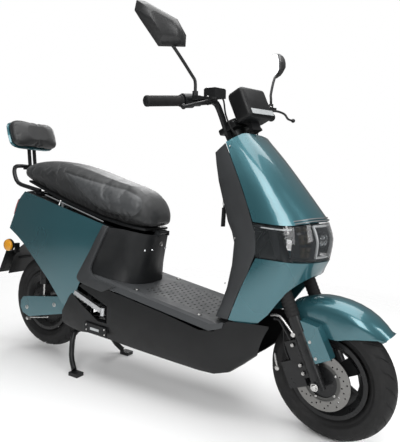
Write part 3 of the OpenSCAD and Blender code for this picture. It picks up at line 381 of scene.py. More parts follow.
MATERIALS = {
    "teal_paint": paint(),
    "charcoal_plastic": moulded("charcoal_plastic_grain", CHARCOAL, 0.56, 780, 0.22),
    "black_plastic": moulded("black_plastic_grain", BLACK, 0.40, 900, 0.12),
    "frame_paint": moulded("powder_coat", (0.008, 0.0083, 0.009), 0.34, 1400, 0.08, 0.2),
    "black_metal": moulded("black_enamel", (0.0095, 0.0098, 0.0102), 0.30, 1200, 0.06, 0.25),
    "aluminium": metal("cast_aluminium", (0.62, 0.63, 0.64), 0.36, (220.0, 220.0, 220.0), 0.10),
    "steel": metal("brushed_steel", (0.52, 0.515, 0.505), 0.28),
    "bright_trim": metal("polished_trim", (0.80, 0.82, 0.84), 0.10, (300.0, 300.0, 300.0), 0.03),
    "clear_lens": lens("headlight_clear", (0.055, 0.062, 0.066), 0.16),
    "red_lens": ribbed_lens("red_lens_prisms", (0.30, 0.012, 0.016), 5.0, 0.5),
    "amber_lens": ribbed_lens("amber_lens_prisms", (0.78, 0.33, 0.015), 4.0, 0.6),
    "button_yellow": moulded("button_plastic", (0.55, 0.30, 0.01), 0.32, 900, 0.06, 0.1),
    "screen": moulded("pale_cover_strip", (0.36, 0.375, 0.38), 0.28, 1200, 0.05, 0.1),
    "battery_case": moulded("battery_case_plastic", (0.020, 0.026, 0.034), 0.45, 700, 0.15),
    "rubber": rubber("black_rubber", (0.0095, 0.0095, 0.0098)),
    "tyre": rubber("tyre_rubber", (0.0115, 0.0115, 0.0118), 0.60, 0.30),
    "seat_cover": pad_vinyl(),
}
SEAT = seat_vinyl()
DISC = disc_steel()
CARBON = carbon()
DARK_GLASS = moulded("dark_glass", (0.004, 0.0045, 0.005), 0.06, 300, 0.01, 0.0)
MIRROR_GLASS = metal("mirror_silver", (0.11, 0.12, 0.135), 0.03, (20.0, 20.0, 20.0), 0.0)
SMOKED = moulded("smoked_reflector", (0.018, 0.019, 0.021), 0.16, 300, 0.05, 0.3)
COVER_BLACK = moulded("cover_satin", (0.0105, 0.0112, 0.012), 0.36, 1100, 0.10)
LED_BLOCK = moulded("led_block", (0.045, 0.037, 0.026), 0.22, 700, 0.1, 0.3)
GUIDE = glow("light_guide", (0.62, 0.64, 0.65), 0.10)

for part in frame["record"]["subparts"]:
    for place in nodes[part["node"]].material_slots:
        place.material = MATERIALS[part["material_slot"]]
for name, material in (("brake_disc", DISC), ("headlight_housing", SMOKED),
                       ("under_seat_cover", COVER_BLACK)):
    for place in nodes[name].material_slots:
        place.material = material

# ---- smooth shading for the carried-over parts ----


def shading_group(name, angle, levels=0):
    """Joins split corners, then shades smooth except across edges sharper than angle."""
    group = bpy.data.node_groups.new(name, "GeometryNodeTree")
    group.interface.new_socket("Geometry", in_out="INPUT", socket_type="NodeSocketGeometry")
    group.interface.new_socket("Geometry", in_out="OUTPUT", socket_type="NodeSocketGeometry")
    made = {kind: group.nodes.new(kind) for kind in (
        "NodeGroupInput", "NodeGroupOutput", "GeometryNodeMergeByDistance",
        "GeometryNodeInputMeshEdgeAngle", "FunctionNodeCompare", "GeometryNodeSetShadeSmooth")}
    merge, compare = made["GeometryNodeMergeByDistance"], made["FunctionNodeCompare"]
    merge.inputs["Distance"].default_value = 0.02 * MM
    compare.operation = "LESS_THAN"
    compare.inputs[1].default_value = angle
    smooth_faces = made["GeometryNodeSetShadeSmooth"]
    smooth_edges = group.nodes.new("GeometryNodeSetShadeSmooth")
    smooth_edges.domain = "EDGE"
    link = group.links.new
    link(made["NodeGroupInput"].outputs[0], merge.inputs["Geometry"])
    link(merge.outputs[0], smooth_faces.inputs["Geometry"])
    link(smooth_faces.outputs[0], smooth_edges.inputs["Geometry"])
    link(made["GeometryNodeInputMeshEdgeAngle"].outputs[0], compare.inputs[0])
    link(compare.outputs[0], smooth_edges.inputs["Shade Smooth"])
    link(smooth_edges.outputs[0], made["NodeGroupOutput"].inputs[0])
    return group


SMOOTHED = shading_group("smooth_by_angle", math.radians(34))
for node in nodes.values():
    node.modifiers.new("Smooth", "NODES").node_group = SMOOTHED

# ---- building helpers ----


def add_piece(name, mesh, slot, body, material=None, smooth_angle=35):
    """Links a mesh as a piece that rides on a body, in its slot's material unless one is given."""
    o = bpy.data.objects.new(name, mesh)
    bpy.context.scene.collection.objects.link(o)
    mesh.materials.append(material or MATERIALS[slot])
    mesh.shade_smooth()
    mesh.set_sharp_from_angle(angle=math.radians(smooth_angle))
    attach(o, body)
    return o


def mesh_from(name, points, faces):
    mesh = bpy.data.meshes.new(name)
    mesh.from_pydata([tuple(p) for p in points], [], faces)
    mesh.update()
    return mesh


def facing(direction):
    """A rotation that takes +Z to the direction."""
    return Vector(direction).to_track_quat("Z", "Y").to_matrix().to_4x4()


class Kit:
    """Collects small fittings into one mesh."""

    def __init__(self):
        self.bm = bmesh.new()

    def rings(self, centre, direction, profile, sides=24, turn=0.0):
        """A turned shape: profile is pairs of (radius, height) in millimetres along direction."""
        place = Matrix.Translation(centre) @ facing(direction)
        angles = [turn + 2 * math.pi * k / sides for k in range(sides)]
        return self.loft([[place @ (Vector((radius * math.cos(a), radius * math.sin(a), height)) * MM)
                           for a in angles] for radius, height in profile])

    def bolt(self, centre, direction, radius=6.0, head=5.0):
        """Hexagon head on a washer, with a chamfered top."""
        self.rings(centre, direction, [(radius * 1.45, 0.1), (radius * 1.45, 1.0),
                                       (radius * 1.38, 1.3), (radius * 0.9, 1.3)], 28)
        self.rings(centre, direction, [(radius * 1.1, 1.2), (radius * 1.12, head - 1.0),
                                       (radius * 0.94, head)], 6, 0.3)
        return self.rings(centre, direction, [(radius * 0.88, head - 0.1), (radius * 0.82, head + 0.7),
                                              (radius * 0.3, head + 0.9)], 24)

    def screw(self, centre, direction, radius=5.0):
        """Domed head with a hexagon socket."""
        return self.rings(centre, direction, [
            (radius, 0.0), (radius, 0.8), (radius * 0.88, 1.9), (radius * 0.6, 2.6),
            (radius * 0.46, 2.7), (radius * 0.42, 1.2), (radius * 0.1, 1.2)], 24)

    def box(self, centre, size, axes=None, chamfer=0.8, segments=2):
        """A box with chamfered edges; size in millimetres along the given axes."""
        x, y, z = (Vector(a).normalized() for a in (axes or ((1, 0, 0), (0, 1, 0), (0, 0, 1))))
        place = Matrix((x, y, z)).transposed().to_4x4()
        place.translation = centre
        before = set(self.bm.verts)
        bmesh.ops.create_cube(self.bm, size=1)
        fresh = [v for v in self.bm.verts if v not in before]
        for v in fresh:
            v.co = place @ Vector((v.co.x * size[0] * MM, v.co.y * size[1] * MM, v.co.z * size[2] * MM))
        edges = {e for v in fresh for e in v.link_edges}
        bmesh.ops.bevel(self.bm, geom=list(edges), offset=min(chamfer, min(size) * 0.45) * MM,
                        segments=segments, affect="EDGES", profile=0.5)
        return self

    def tube(self, points, radius, sides=12):
        """A round rod along points given in the frame, with domed ends."""
        pts = [Vector(p) for p in points]
        ways = [(pts[min(i + 1, len(pts) - 1)] - pts[max(i - 1, 0)]).normalized()
                for i in range(len(pts))]
        side = ways[0].orthogonal().normalized()
        loops = []
        ends = [(0, 0.35, -0.8)] + [(i, 1.0, 0.0) for i in range(len(pts))] + [(-1, 0.35, 0.8)]
        for i, share, out in ends:
            way = ways[i]
            side = (side - way * side.dot(way)).normalized()
            up = way.cross(side)
            centre = pts[i] + way * out * radius * MM
            loops.append([centre + (side * math.cos(2 * math.pi * k / sides)
                                    + up * math.sin(2 * math.pi * k / sides)) * radius * share * MM
                          for k in range(sides)])
        return self.loft(loops)

    def slab(self, corners, thickness, way):
        """A flat plate: corners in the frame, thickened along way, in millimetres."""
        push = Vector(way).normalized() * thickness * MM
        return self.loft([corners, [Vector(p) + push for p in corners]])

    def loft(self, loops):
        """Joins closed loops of points, given in the frame, into a capped form."""
        made = [[self.bm.verts.new(p) for p in loop] for loop in loops]
        count = len(made[0])
        for a, b in zip(made, made[1:]):
            for k in range(count):
                j = (k + 1) % count
                self.bm.faces.new((a[k], a[j], b[j], b[k]))
        self.bm.faces.new(list(reversed(made[0])))
        self.bm.faces.new(made[-1])
        return self

    def piece(self, name, slot, body, material=None):
        bmesh.ops.recalc_face_normals(self.bm, faces=self.bm.faces)
        mesh = bpy.data.meshes.new(name)
        self.bm.to_mesh(mesh)
        self.bm.free()
        return add_piece(name, mesh, slot, body, material)


def smooth_line(points, steps):
    """A smooth curve through the points, with steps between neighbours."""
    out = []
    for i in range(len(points) - 1):
        a, b, c, d = (Vector(points[min(max(i + k, 0), len(points) - 1)]) for k in (-1, 0, 1, 2))
        for k in range(steps):
            t = k / steps
            out.append(0.5 * (2 * b + (c - a) * t + (2 * a - 5 * b + 4 * c - d) * t * t
                              + (3 * b - a - 3 * c + d) * t * t * t))
    return out + [Vector(points[-1])]


# ---- camera, light and floor ----

IMAGE_W, IMAGE_H = 400, 442
FOCAL = 470.95
YAW, PITCH, ROLL = 2.10649, -0.07752, 0.06007


def make_camera():
    data = bpy.data.cameras.new("camera")
    camera = bpy.data.objects.new("camera", data)
    bpy.context.scene.collection.objects.link(camera)
    data.sensor_width = 36.0
    data.lens = FOCAL * data.sensor_width / IMAGE_H
    data.clip_start, data.clip_end = 0.05, 60
    look = Vector((math.cos(PITCH) * math.cos(YAW), math.cos(PITCH) * math.sin(YAW), math.sin(PITCH)))
    right = look.cross(Vector((0, 0, 1))).normalized()
    up = right.cross(look)
    rolled_right = right * math.cos(ROLL) + up * math.sin(ROLL)
    rolled_up = up * math.cos(ROLL) - right * math.sin(ROLL)
    turn = Matrix((rolled_right, rolled_up, -look)).transposed().to_4x4()
    camera.matrix_world = Matrix.Translation(at(1643.5, -1486.2, 786.3)) @ turn
    bpy.context.scene.camera = camera


def area_light(name, place, target, size, power, color=(1, 1, 1)):
    data = bpy.data.lights.new(name, "AREA")
    data.shape = "RECTANGLE"
    data.size, data.size_y = size
    data.energy = power
    data.color = color
    light = bpy.data.objects.new(name, data)
    bpy.context.scene.collection.objects.link(light)
    light.location = place
    light.rotation_euler = (Vector(target) - Vector(place)).to_track_quat("-Z", "Y").to_euler()


def make_studio():
    floor = Surface("pale_floor", (0.86, 0.86, 0.86), 0.7, specular_ior_level=0.2)
    floor.color(floor.blend(floor.spread(floor.noise(0.6, 3), 0.3, 0.7), (0.85, 0.85, 0.85),
                            (0.88, 0.88, 0.88)))
    # the floor fades out round the scooter, into the white backdrop
    away = floor.node("VectorMath", operation="LENGTH")
    floor.link(floor.place, away.inputs[0])
    floor.link(floor.spread(away.outputs["Value"], 1.1, 2.6, 1.0, 0.0), floor.shader.inputs["Alpha"])
    half = 2.7
    mesh = mesh_from("floor", [(-half, -half, 0), (half, -half, 0), (half, half, 0), (-half, half, 0)],
                     [(0, 1, 2, 3)])
    mesh.materials.append(floor.material)
    ground = bpy.data.objects.new("floor", mesh)
    bpy.context.scene.collection.objects.link(ground)

    world = bpy.data.worlds.new("studio")
    bpy.context.scene.world = world
    world.use_nodes = True
    tree = world.node_tree
    tree.nodes.clear()
    out = tree.nodes.new("ShaderNodeOutputWorld")
    seen, felt = (tree.nodes.new("ShaderNodeBackground") for _ in range(2))
    seen.inputs[0].default_value = (1, 1, 1, 1)
    seen.inputs[1].default_value = 1.0
    ways = tree.nodes.new("ShaderNodeTexCoord")
    split = tree.nodes.new("ShaderNodeSeparateXYZ")
    ramp = tree.nodes.new("ShaderNodeValToRGB")
    for stop, value in ((0.0, 0.55), (0.5, 0.30), (0.62, 0.42), (1.0, 0.95)):
        mark = ramp.color_ramp.elements.new(stop) if stop not in (0.0, 1.0) else (
            ramp.color_ramp.elements[0 if stop == 0.0 else -1])
        mark.color = (value, value, value, 1)
    half_up = tree.nodes.new("ShaderNodeMapRange")
    half_up.inputs["From Min"].default_value = -1
    path, mix = tree.nodes.new("ShaderNodeLightPath"), tree.nodes.new("ShaderNodeMixShader")
    link = tree.links.new
    link(ways.outputs["Generated"], split.inputs[0])
    link(split.outputs[2], half_up.inputs["Value"])
    link(half_up.outputs[0], ramp.inputs[0])
    link(ramp.outputs[0], felt.inputs[0])
    felt.inputs[1].default_value = 0.42
    link(path.outputs["Is Camera Ray"], mix.inputs[0])
    link(felt.outputs[0], mix.inputs[1])
    link(seen.outputs[0], mix.inputs[2])
    link(mix.outputs[0], out.inputs[0])

    middle = (cad_low + cad_high) / 2
    area_light("ceiling", middle + Vector((0.2, 0.0, 2.4)), middle, (3.6, 2.6), 95)
    area_light("right_front", middle + Vector((1.2, -2.9, 1.3)), middle, (1.3, 2.4), 62)
    area_light("front", middle + Vector((3.0, -0.6, 1.1)), middle, (0.9, 1.8), 34)
    area_light("left_back", middle + Vector((-1.6, 2.6, 1.7)), middle, (1.6, 1.6), 38)
    view = bpy.context.scene.view_settings
    view.view_transform = "Standard"
    view.look = "None"


make_camera()
make_studio()

# ---- seat and backrest ----

SEAT_CAP = 0.016
PAD_CAP = 0.008


def copy_of(name, node):
    o = nodes[node].copy()
    o.data = nodes[node].data.copy()
    o.parent = None
    o.modifiers.clear()
    for key in list(o.keys()):
        del o[key]
    o.name = o.data.name = name
    bpy.context.scene.collection.objects.link(o)
    return o


def settle(o, modifier):
    """Applies one modifier to the mesh."""
    graph = bpy.context.evaluated_depsgraph_get()
    made = bpy.data.meshes.new_from_object(o.evaluated_get(graph))
    o.modifiers.remove(modifier)
    o.data = made


def inflate(o, cap, voxel, shrink, pressure=4.0, frames=20):
    """Swells the copied form under its cover by cloth simulation, no point further than cap."""
    points = read_points(o.data)
    middle = points.mean(0)
    write_points(o.data, middle + (points - middle) * np.array(shrink))
    remesh = o.modifiers.new("Remesh", "REMESH")
    remesh.mode = "VOXEL"
    remesh.voxel_size = voxel
    settle(o, remesh)
    rest = read_points(o.data)
    cloth = o.modifiers.new("Cloth", "CLOTH")
    cloth.settings.use_pressure = True
    cloth.settings.uniform_pressure_force = pressure
    cloth.settings.effector_weights.gravity = 0
    cloth.settings.quality = 4
    cloth.settings.tension_stiffness = cloth.settings.compression_stiffness = 12
    scene = bpy.context.scene
    for step in range(1, frames + 1):
        scene.frame_set(step)
    settle(o, cloth)
    moved = read_points(o.data) - rest
    length = np.maximum(np.linalg.norm(moved, axis=1), 1e-9)
    write_points(o.data, rest + moved * np.minimum(1.0, cap / length)[:, None])
    scene.frame_set(1)
    fine = o.modifiers.new("Fine", "SUBSURF")
    fine.levels = fine.render_levels = 1
    settle(o, fine)


# Depth and half-width of a sewn groove, and how far the panel, painted paler as sheen, stands out, in millimetres
GROOVE, GROOVE_W, PROUD = 2.6, 5.5, 1.6

# Edge of the panel painted paler as sheen on each side of the seat, in the side view: its lower edge, then its
# upper
LEAF_LOW = [(168, 802), (208, 772), (258, 734), (313, 691), (360, 664), (420, 651), (496, 648),
            (538, 660), (556, 692)]
LEAF_HIGH = [(168, 802), (310, 775), (409, 757), (485, 744), (540, 722), (556, 692)]


def distance_to(line, x, z):
    """Distances in millimetres from points of the side view, given as arrays, to a line through points."""
    best = np.full(len(x), 1e9)
    for (x0, z0), (x1, z1) in zip(line, line[1:]):
        dx, dz = x1 - x0, z1 - z0
        t = np.clip(((x - x0) * dx + (z - z0) * dz) / (dx * dx + dz * dz), 0, 1)
        best = np.minimum(best, np.hypot(x - x0 - t * dx, z - z0 - t * dz))
    return best


def inside(outline, x, z):
    """Whether points of the side view, given as arrays, are inside a closed outline."""
    found = np.zeros(len(x), bool)
    for (x0, z0), (x1, z1) in zip(outline, outline[1:] + outline[:1]):
        if z0 != z1:
            found ^= ((z0 > z) != (z1 > z)) & (x < x0 + (z - z0) * (x1 - x0) / (z1 - z0))
    return found


def read_points(mesh, what="co"):
    """The mesh's points, or their normals, as an array."""
    out = np.zeros(len(mesh.vertices) * 3)
    source = mesh.vertices if what == "co" else mesh.vertex_normals
    source.foreach_get("co" if what == "co" else "vector", out)
    return out.reshape(-1, 3)


def write_points(mesh, points):
    mesh.vertices.foreach_set("co", np.ascontiguousarray(points).ravel())
    mesh.update()


def seat_piece():
    o = copy_of("seat_soft", "seat_cushion")
    inflate(o, SEAT_CAP, 0.0055, (0.975, 0.95, 0.93))
    low = [tuple(p) for p in smooth_line(LEAF_LOW, 3)]
    high = [tuple(p) for p in smooth_line(LEAF_HIGH, 3)]
    outline = low + list(reversed(high))[1:-1]
    mesh = o.data
    points, normals = read_points(mesh), read_points(mesh, "normal")
    x, z = (points[:, 0] - BASE.x) / MM, (points[:, 2] - BASE.z) / MM
    near = np.minimum(distance_to(low, x, z), distance_to(high, x, z))
    within = inside(outline, x, z)
    # positive inside the panel, where the seat material paints a paler sheen
    leaf = mesh.attributes.new("leaf", "FLOAT", "POINT")
    leaf.data.foreach_set("value", np.where(within, near, -near) * MM)
    dip = np.exp(-((near / GROOVE_W) ** 2)) * GROOVE
    # the panel stands a little proud of the rest of the cover
    proud = np.where(within, PROUD * np.minimum(1.0, near / 14), 0.0)
    points += normals * ((proud - dip) * MM)[:, None]
    points[:, 2] = np.maximum(points[:, 2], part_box("seat_cushion")[0].z)
    write_points(mesh, points)
    mesh.materials.clear()
    mesh.materials.append(SEAT)
    mesh.shade_smooth()
    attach(o, "seat")
    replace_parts(o, "seat_cushion")


def pad_piece():
    o = copy_of("backrest_soft", "backrest_pad")
    inflate(o, PAD_CAP, 0.0045, (0.94, 0.965, 0.94))
    mesh = o.data
    centre = at(-168, 0, 962)
    lean = Vector((math.cos(math.radians(20)), 0, math.sin(math.radians(20))))
    # a sewn seam runs round the pad near its back edge
    points, normals = read_points(mesh), read_points(mesh, "normal")
    depth = (points - np.array(centre)) @ np.array(lean) / MM
    points -= normals * (1.8 * MM * np.exp(-(((depth - 4) / 3.2) ** 2)))[:, None]
    write_points(mesh, points)
    mesh.materials.clear()
    mesh.materials.append(MATERIALS["seat_cover"])
    mesh.shade_smooth()
    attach(o, "chassis")
    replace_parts(o, "backrest_pad")


seat_piece()
pad_piece()

# ---- tyres ----

TREAD_BLOCKS = 26
# Share of a block's pitch at each column and whether the column is in the groove
TREAD_COLUMNS = ((0.0, 0), (0.22, 0), (0.44, 0), (0.62, 0), (0.66, 1), (0.80, 1), (0.84, 0), (0.92, 0))
TREAD_DEPTH = 3.4


def tyre_piece(name, node, body, place, way):
    """Tyre with swept shoulder grooves and ribs on its walls. place is its centre, way its axle."""
    half = (TYRE_R - RIM_R) / 2
    mid = (TYRE_R + RIM_R) / 2
    angles = [-156 + 6 * i for i in range(53)]
    pitch = 2 * math.pi / TREAD_BLOCKS
    turn = Vector(way).to_track_quat("Y", "Z").to_matrix()
    points, columns = [], TREAD_BLOCKS * len(TREAD_COLUMNS)
    for block in range(TREAD_BLOCKS):
        for share, sunk in TREAD_COLUMNS:
            for a in angles:
                r = mid + half * math.cos(math.radians(a))
                y = TYRE_W / 2 * math.sin(math.radians(a)) * (0.9 if abs(a) > 110 else 1)
                tread = min(1.0, max(0.0, (abs(a) - 8) / 6)) * min(1.0, max(0.0, (64 - abs(a)) / 8))
                wall = 0.9 if abs(a) in (78, 102, 126) else 0.0
                r -= sunk * TREAD_DEPTH * tread
                sweep = abs(a) / 64 * 1.15
                phi = pitch * (block + share + (sweep if abs(a) <= 72 else 72 / 64 * 1.15))
                y += math.copysign(wall, a)
                points.append(place + turn @ (Vector((r * math.cos(phi), y, r * math.sin(phi))) * MM))
    rows = len(angles)
    faces = []
    for c in range(columns):
        d = (c + 1) % columns
        for k in range(rows - 1):
            faces.append((c * rows + k, c * rows + k + 1, d * rows + k + 1, d * rows + k))
        faces.append((c * rows + rows - 1, c * rows, d * rows, d * rows + rows - 1))
    mesh = mesh_from(name, points, faces)
    bm = bmesh.new()
    bm.from_mesh(mesh)
    bmesh.ops.recalc_face_normals(bm, faces=bm.faces)
    bm.to_mesh(mesh)
    bm.free()
    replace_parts(add_piece(name, mesh, "tyre", body, smooth_angle=40), node)


FRONT_AXLE = Vector(joints["front_wheel_spin"]["pos_m"])
REAR_AXLE = Vector(joints["rear_wheel_spin"]["pos_m"])
tyre_piece("tyre_front", "front_tyre", "front_wheel", FRONT_AXLE, steered_way(0, 1, 0))
tyre_piece("tyre_rear", "rear_tyre", "rear_wheel", REAR_AXLE, (0, 1, 0))

# ---- wheels, fork and swingarm fittings ----

RIGHT = steered_way(0, -1, 0)
LEFT = -RIGHT


def wheel_fittings():
    bolts = Kit()
    for k in range(5):
        a = 2 * math.pi * (k + 0.5) / 5
        bolts.screw(steered(54 * math.cos(a), -64.2, 207 + 54 * math.sin(a)), RIGHT, 4.5)
    bolts.piece("disc_bolts", "steel", "front_wheel")
    valve = Kit()
    valve.tube([steered(0, 12, 207 + 108), steered(0, 16, 207 + 96), steered(0, 17, 207 + 84)], 3.0)
    valve.rings(steered(0, 17, 207 + 86), steered_way(0, 0.1, -1), [(4, 0), (4, 9), (3, 10)], 12)
    valve.piece("tyre_valve", "rubber", "front_wheel")


def fork_fittings():
    bright = Kit()
    for x, z in ((-32, 335), (-10, 288)):
        bright.bolt(steered(x, -92, z), RIGHT, 3.6, 4)
        bright.bolt(steered(x, 92, z), LEFT, 3.6, 4)
    nut = on_axis(AXIS_BACK * math.cos(RAKE), 0, -AXIS_BACK * math.sin(RAKE))
    for way, y in ((RIGHT, 112.5), (LEFT, 112.5)):
        bright.bolt(nut + way * y * MM, way, 8.6, 8)
    for lx, lz in ((-30, 126), (-28, 36), (-28, 62)):
        bright.bolt(on_axis(14.4 + lx, -103, lz), RIGHT, 3.8, 4)
    bright.tube([steered(-166, -100, 392), steered(-150, -101, 396), steered(-134, -101, 396),
                 steered(-118, -101, 384), steered(-83, -100, 349)], 4.2)
    bright.rings(steered(-83, -104, 348), LEFT, [(7, -2), (8, 0), (8, 5), (6.5, 6)], 20)
    bright.tube([steered(-152, -90, 262), steered(-146, -92, 240), steered(-139, -92, 222)], 4.0)
    bright.rings(steered(-139, -94, 220), RIGHT, [(7, -3), (8, -1), (8, 4), (6, 5)], 20)
    bright.piece("fork_bolts", "steel", "fork_lower")


def arm_fittings():
    bright = Kit()
    for side in (-1, 1):
        way = Vector((0, side, 0))
        for x, z in ((-31, 204), (138, 244)):
            bright.rings(at(x, side * 112, z), way, [(9.5, -0.5), (9.5, 0.5), (8.6, 0.9), (6.2, 0.9),
                                                     (5.6, -1.6), (2, -1.6)], 28)
            bright.screw(at(x, side * 110.2, z), way, 5.0)
        bright.bolt(at(0, side * 80, 224), way, 9.5, 8)
    bright.piece("arm_bolts", "steel", "swingarm")
    rod = Kit()
    rod.tube([at(-44, -92, 148), at(-20, -94, 156), at(30, -96, 166), at(86, -96, 178)], 3.4)
    rod.rings(at(-40, -97, 149), (0, -1, 0), [(8, 0), (8, 5), (6, 6)], 20)
    rod.slab([at(-46, -88, 142), at(-30, -88, 142), at(-16, -88, 196), at(-28, -88, 200)], 5, (0, -1, 0))
    rod.tube([at(-24, -60, 194), at(-24, -92, 194)], 6)
    rod.piece("brake_rod", "steel", "swingarm")


def hub_fittings():
    cover = Kit()
    for side in (-1, 1):
        way = (0, side, 0)
        cover.rings(at(0, side * 49.5, 224), way, [(58, 0), (58, 1.6), (55, 2.4), (40, 3.0), (38, 5.4),
                                                  (22, 6.0), (16, 8)], 48)
        for k in range(8):
            a = 2 * math.pi * k / 8
            cover.screw(at(48 * math.cos(a), side * 52, 224 + 48 * math.sin(a)), way, 4.2)
    cover.piece("hub_covers", "black_metal", "rear_wheel")


wheel_fittings()
fork_fittings()
arm_fittings()
hub_fittings()

# ---- floor, skirts and covers ----


def floor_height(x):
    return 392 - 0.15 * (x - 560)


FIRST_STUD, STUD_ROWS, STUD_REACH = 606, 15, 122


def floor_pattern():
    """Staggered oval studs over the floor, and the screws at its corners."""
    studs = Kit()
    row_pitch, stud_pitch = 19.0, 30.0
    tilt = (1, 0, -0.15)
    for row in range(STUD_ROWS):
        x = FIRST_STUD + row * row_pitch
        for k in range(-4, 5):
            y = (k + (0.5 if row % 2 else 0.0)) * stud_pitch
            if abs(y) > STUD_REACH:
                continue
            place = Matrix.Translation(at(x, y, floor_height(x) - 0.4))
            before = set(studs.bm.verts)
            bmesh.ops.create_uvsphere(studs.bm, u_segments=12, v_segments=6, radius=1)
            for v in [v for v in studs.bm.verts if v not in before]:
                v.co = place @ (Vector((v.co.x * 3.4, v.co.y * 8.5, v.co.z * 1.7 - v.co.x * 0.5)) * MM)
    # The studs are real raised nubs; their dark rubber colour is painted shade that falls round them.
    studs.piece("floor_studs", "rubber", "chassis")
    screws, cups = Kit(), Kit()
    for x in (592, 862):
        for y in (-138, 138):
            up = Vector(tilt).cross(Vector((0, 1, 0)))
            top = at(x, y, floor_height(x) + 2.2)
            cups.rings(top, up, [(11, -1.5), (11, 0.9), (9.6, 1.3), (8.2, 0.6), (7.5, -0.6), (2, -0.6)], 28)
            screws.screw(top, up, 5.4)
    cups.piece("floor_screw_cups", "black_plastic", "chassis")
    screws.piece("floor_screws", "steel", "chassis")


def skirt_panel():
    """Service panel low on each skirt, dark, with four screws and a bare label plate."""
    for side, name in ((-1, "right"), (1, "left")):
        y, way = side * 171.5, (0, side, 0)
        corners = [(372, 232), (482, 228), (485, 194), (375, 198)]
        panel = Kit()
        panel.slab([at(x, y - side * 4.5, z) for x, z in corners], 5.0, way)
        panel.piece("service_panel_" + name, "black_plastic", "chassis")
        screws = Kit()
        for x, z in ((383, 224), (474, 221), (476, 202), (384, 205)):
            screws.screw(at(x, y + side * 0.4, z), way, 3.4)
        screws.piece("service_screws_" + name, "steel", "chassis")
        label = Kit()
        label.slab([at(x, y + side * 0.4, z) for x, z in ((404, 218), (448, 216.5), (448, 207),
                                                         (404, 208.5))], 0.6, way)
        label.piece("service_plate_" + name, "screen", "chassis")


def cover_fittings():
    screws = Kit()
    for x, y, z in ((567, -68, 524), (581, -41, 526), (567, 68, 524), (581, 41, 526)):
        screws.screw(at(x, y, z), (0.82, 0.5 * math.copysign(1, y), 0.12), 4.2)
    screws.piece("cover_screws", "bright_trim", "chassis")
    catch = Kit()
    catch.rings(at(592, 0, 548), (1, 0, 0.1), [
        (9, -2), (9, 3), (7.5, 4.2), (5, 4.4), (4.6, 3.0), (1, 3.0)], 28)
    catch.piece("seat_lock", "steel", "chassis")


# Moulded band round the front edge of the side panel, from its top down into the rim of the floor:
# x, half-width and height of its rear edge, then of its front edge
BAND = (
    ((424, 148, 611), (451, 150, 606)), ((411, 152, 584), (442, 156, 582)),
    ((394, 155, 551), (430, 160, 552)), ((371, 155, 509), (413, 162, 514)),
    ((337, 155, 454), (394, 164, 472)), ((319, 158, 420), (386, 167, 446)),
    ((312, 162, 399), (388, 168, 430)), ((322, 166, 386), (402, 169, 416)),
    ((346, 169, 379), (422, 171, 409)), ((376, 171, 374), (446, 172, 405)),
    ((414, 172, 368), (480, 172, 399)), ((452, 171, 362), (516, 171, 393)),
)
BAND_RISE, BAND_DEPTH, BAND_RUN_OUT = 5.0, 9.0, 12


def trim_band(side, name):
    rear = smooth_line([r for r, f in BAND], 4)
    front = smooth_line([f for r, f in BAND], 4)
    out = Vector((0, 1, 0))
    loops = []
    for i, (a, b) in enumerate(zip(rear, front)):
        # the rise dies away where the band runs out into the floor's rim
        rise = out * BAND_RISE * min(1.0, (len(rear) - 1 - i) / BAND_RUN_OUT)
        edge = (a, a.lerp(b, 0.06) + rise * 0.7, a.lerp(b, 0.16) + rise, a.lerp(b, 0.72) + rise,
                a.lerp(b, 0.9) + rise * 0.5, b, b - out * BAND_DEPTH, a - out * BAND_DEPTH)
        loops.append([at(p.x, side * p.y, p.z) for p in edge])
    Kit().loft(loops).piece("trim_band_" + name, "charcoal_plastic", "chassis")


def shield_fittings():
    screws = Kit()
    for side in (-1, 1):
        screws.screw(at(934, side * 131.5, 914), (-0.2, side, 0.25), 3.2)
        screws.screw(at(974, side * 131, 620), (-0.9, side * 0.35, 0), 4.4)
        screws.screw(at(948, side * 128, 470), (-0.9, side * 0.35, 0), 4.4)
    screws.piece("shield_screws", "steel", "chassis")


floor_pattern()
skirt_panel()
cover_fittings()
trim_band(-1, "right")
trim_band(1, "left")
shield_fittings()

# ---- headlight ----

LENS_GRID = [
    [(-49, 0, 689), (-72, 88, 686), (-139, 132, 672), (-242, 142, 676)],
    [(-31, 0, 635), (-52, 84, 633), (-115, 136, 623), (-232, 143, 624)],
    [(-36, 0, 572), (-56, 80, 571), (-108, 133, 570), (-226, 141, 571)],
]


def lens_point(across, down, back=0.0):
    """A place behind the lens: across from -3 on the right to 3 on the left, down from 0 to 2."""
    k, side = abs(across), 1 if across >= 0 else -1
    line = [smooth_line([row[i] for row in LENS_GRID], 8)[min(int(round(down * 8)), 16)]
            for i in range(4)]
    curve = smooth_line([(line[1][0], -line[1][1], line[1][2])] + [tuple(p) for p in line], 8)[8:]
    p = curve[min(int(round(k * 8)), len(curve) - 1)]
    inward = Vector((-1.0, -0.45 * min(k, 3) / 3, 0)) * back
    return at(WHEELBASE + p.x + inward.x, side * (p.y + inward.y), p.z)


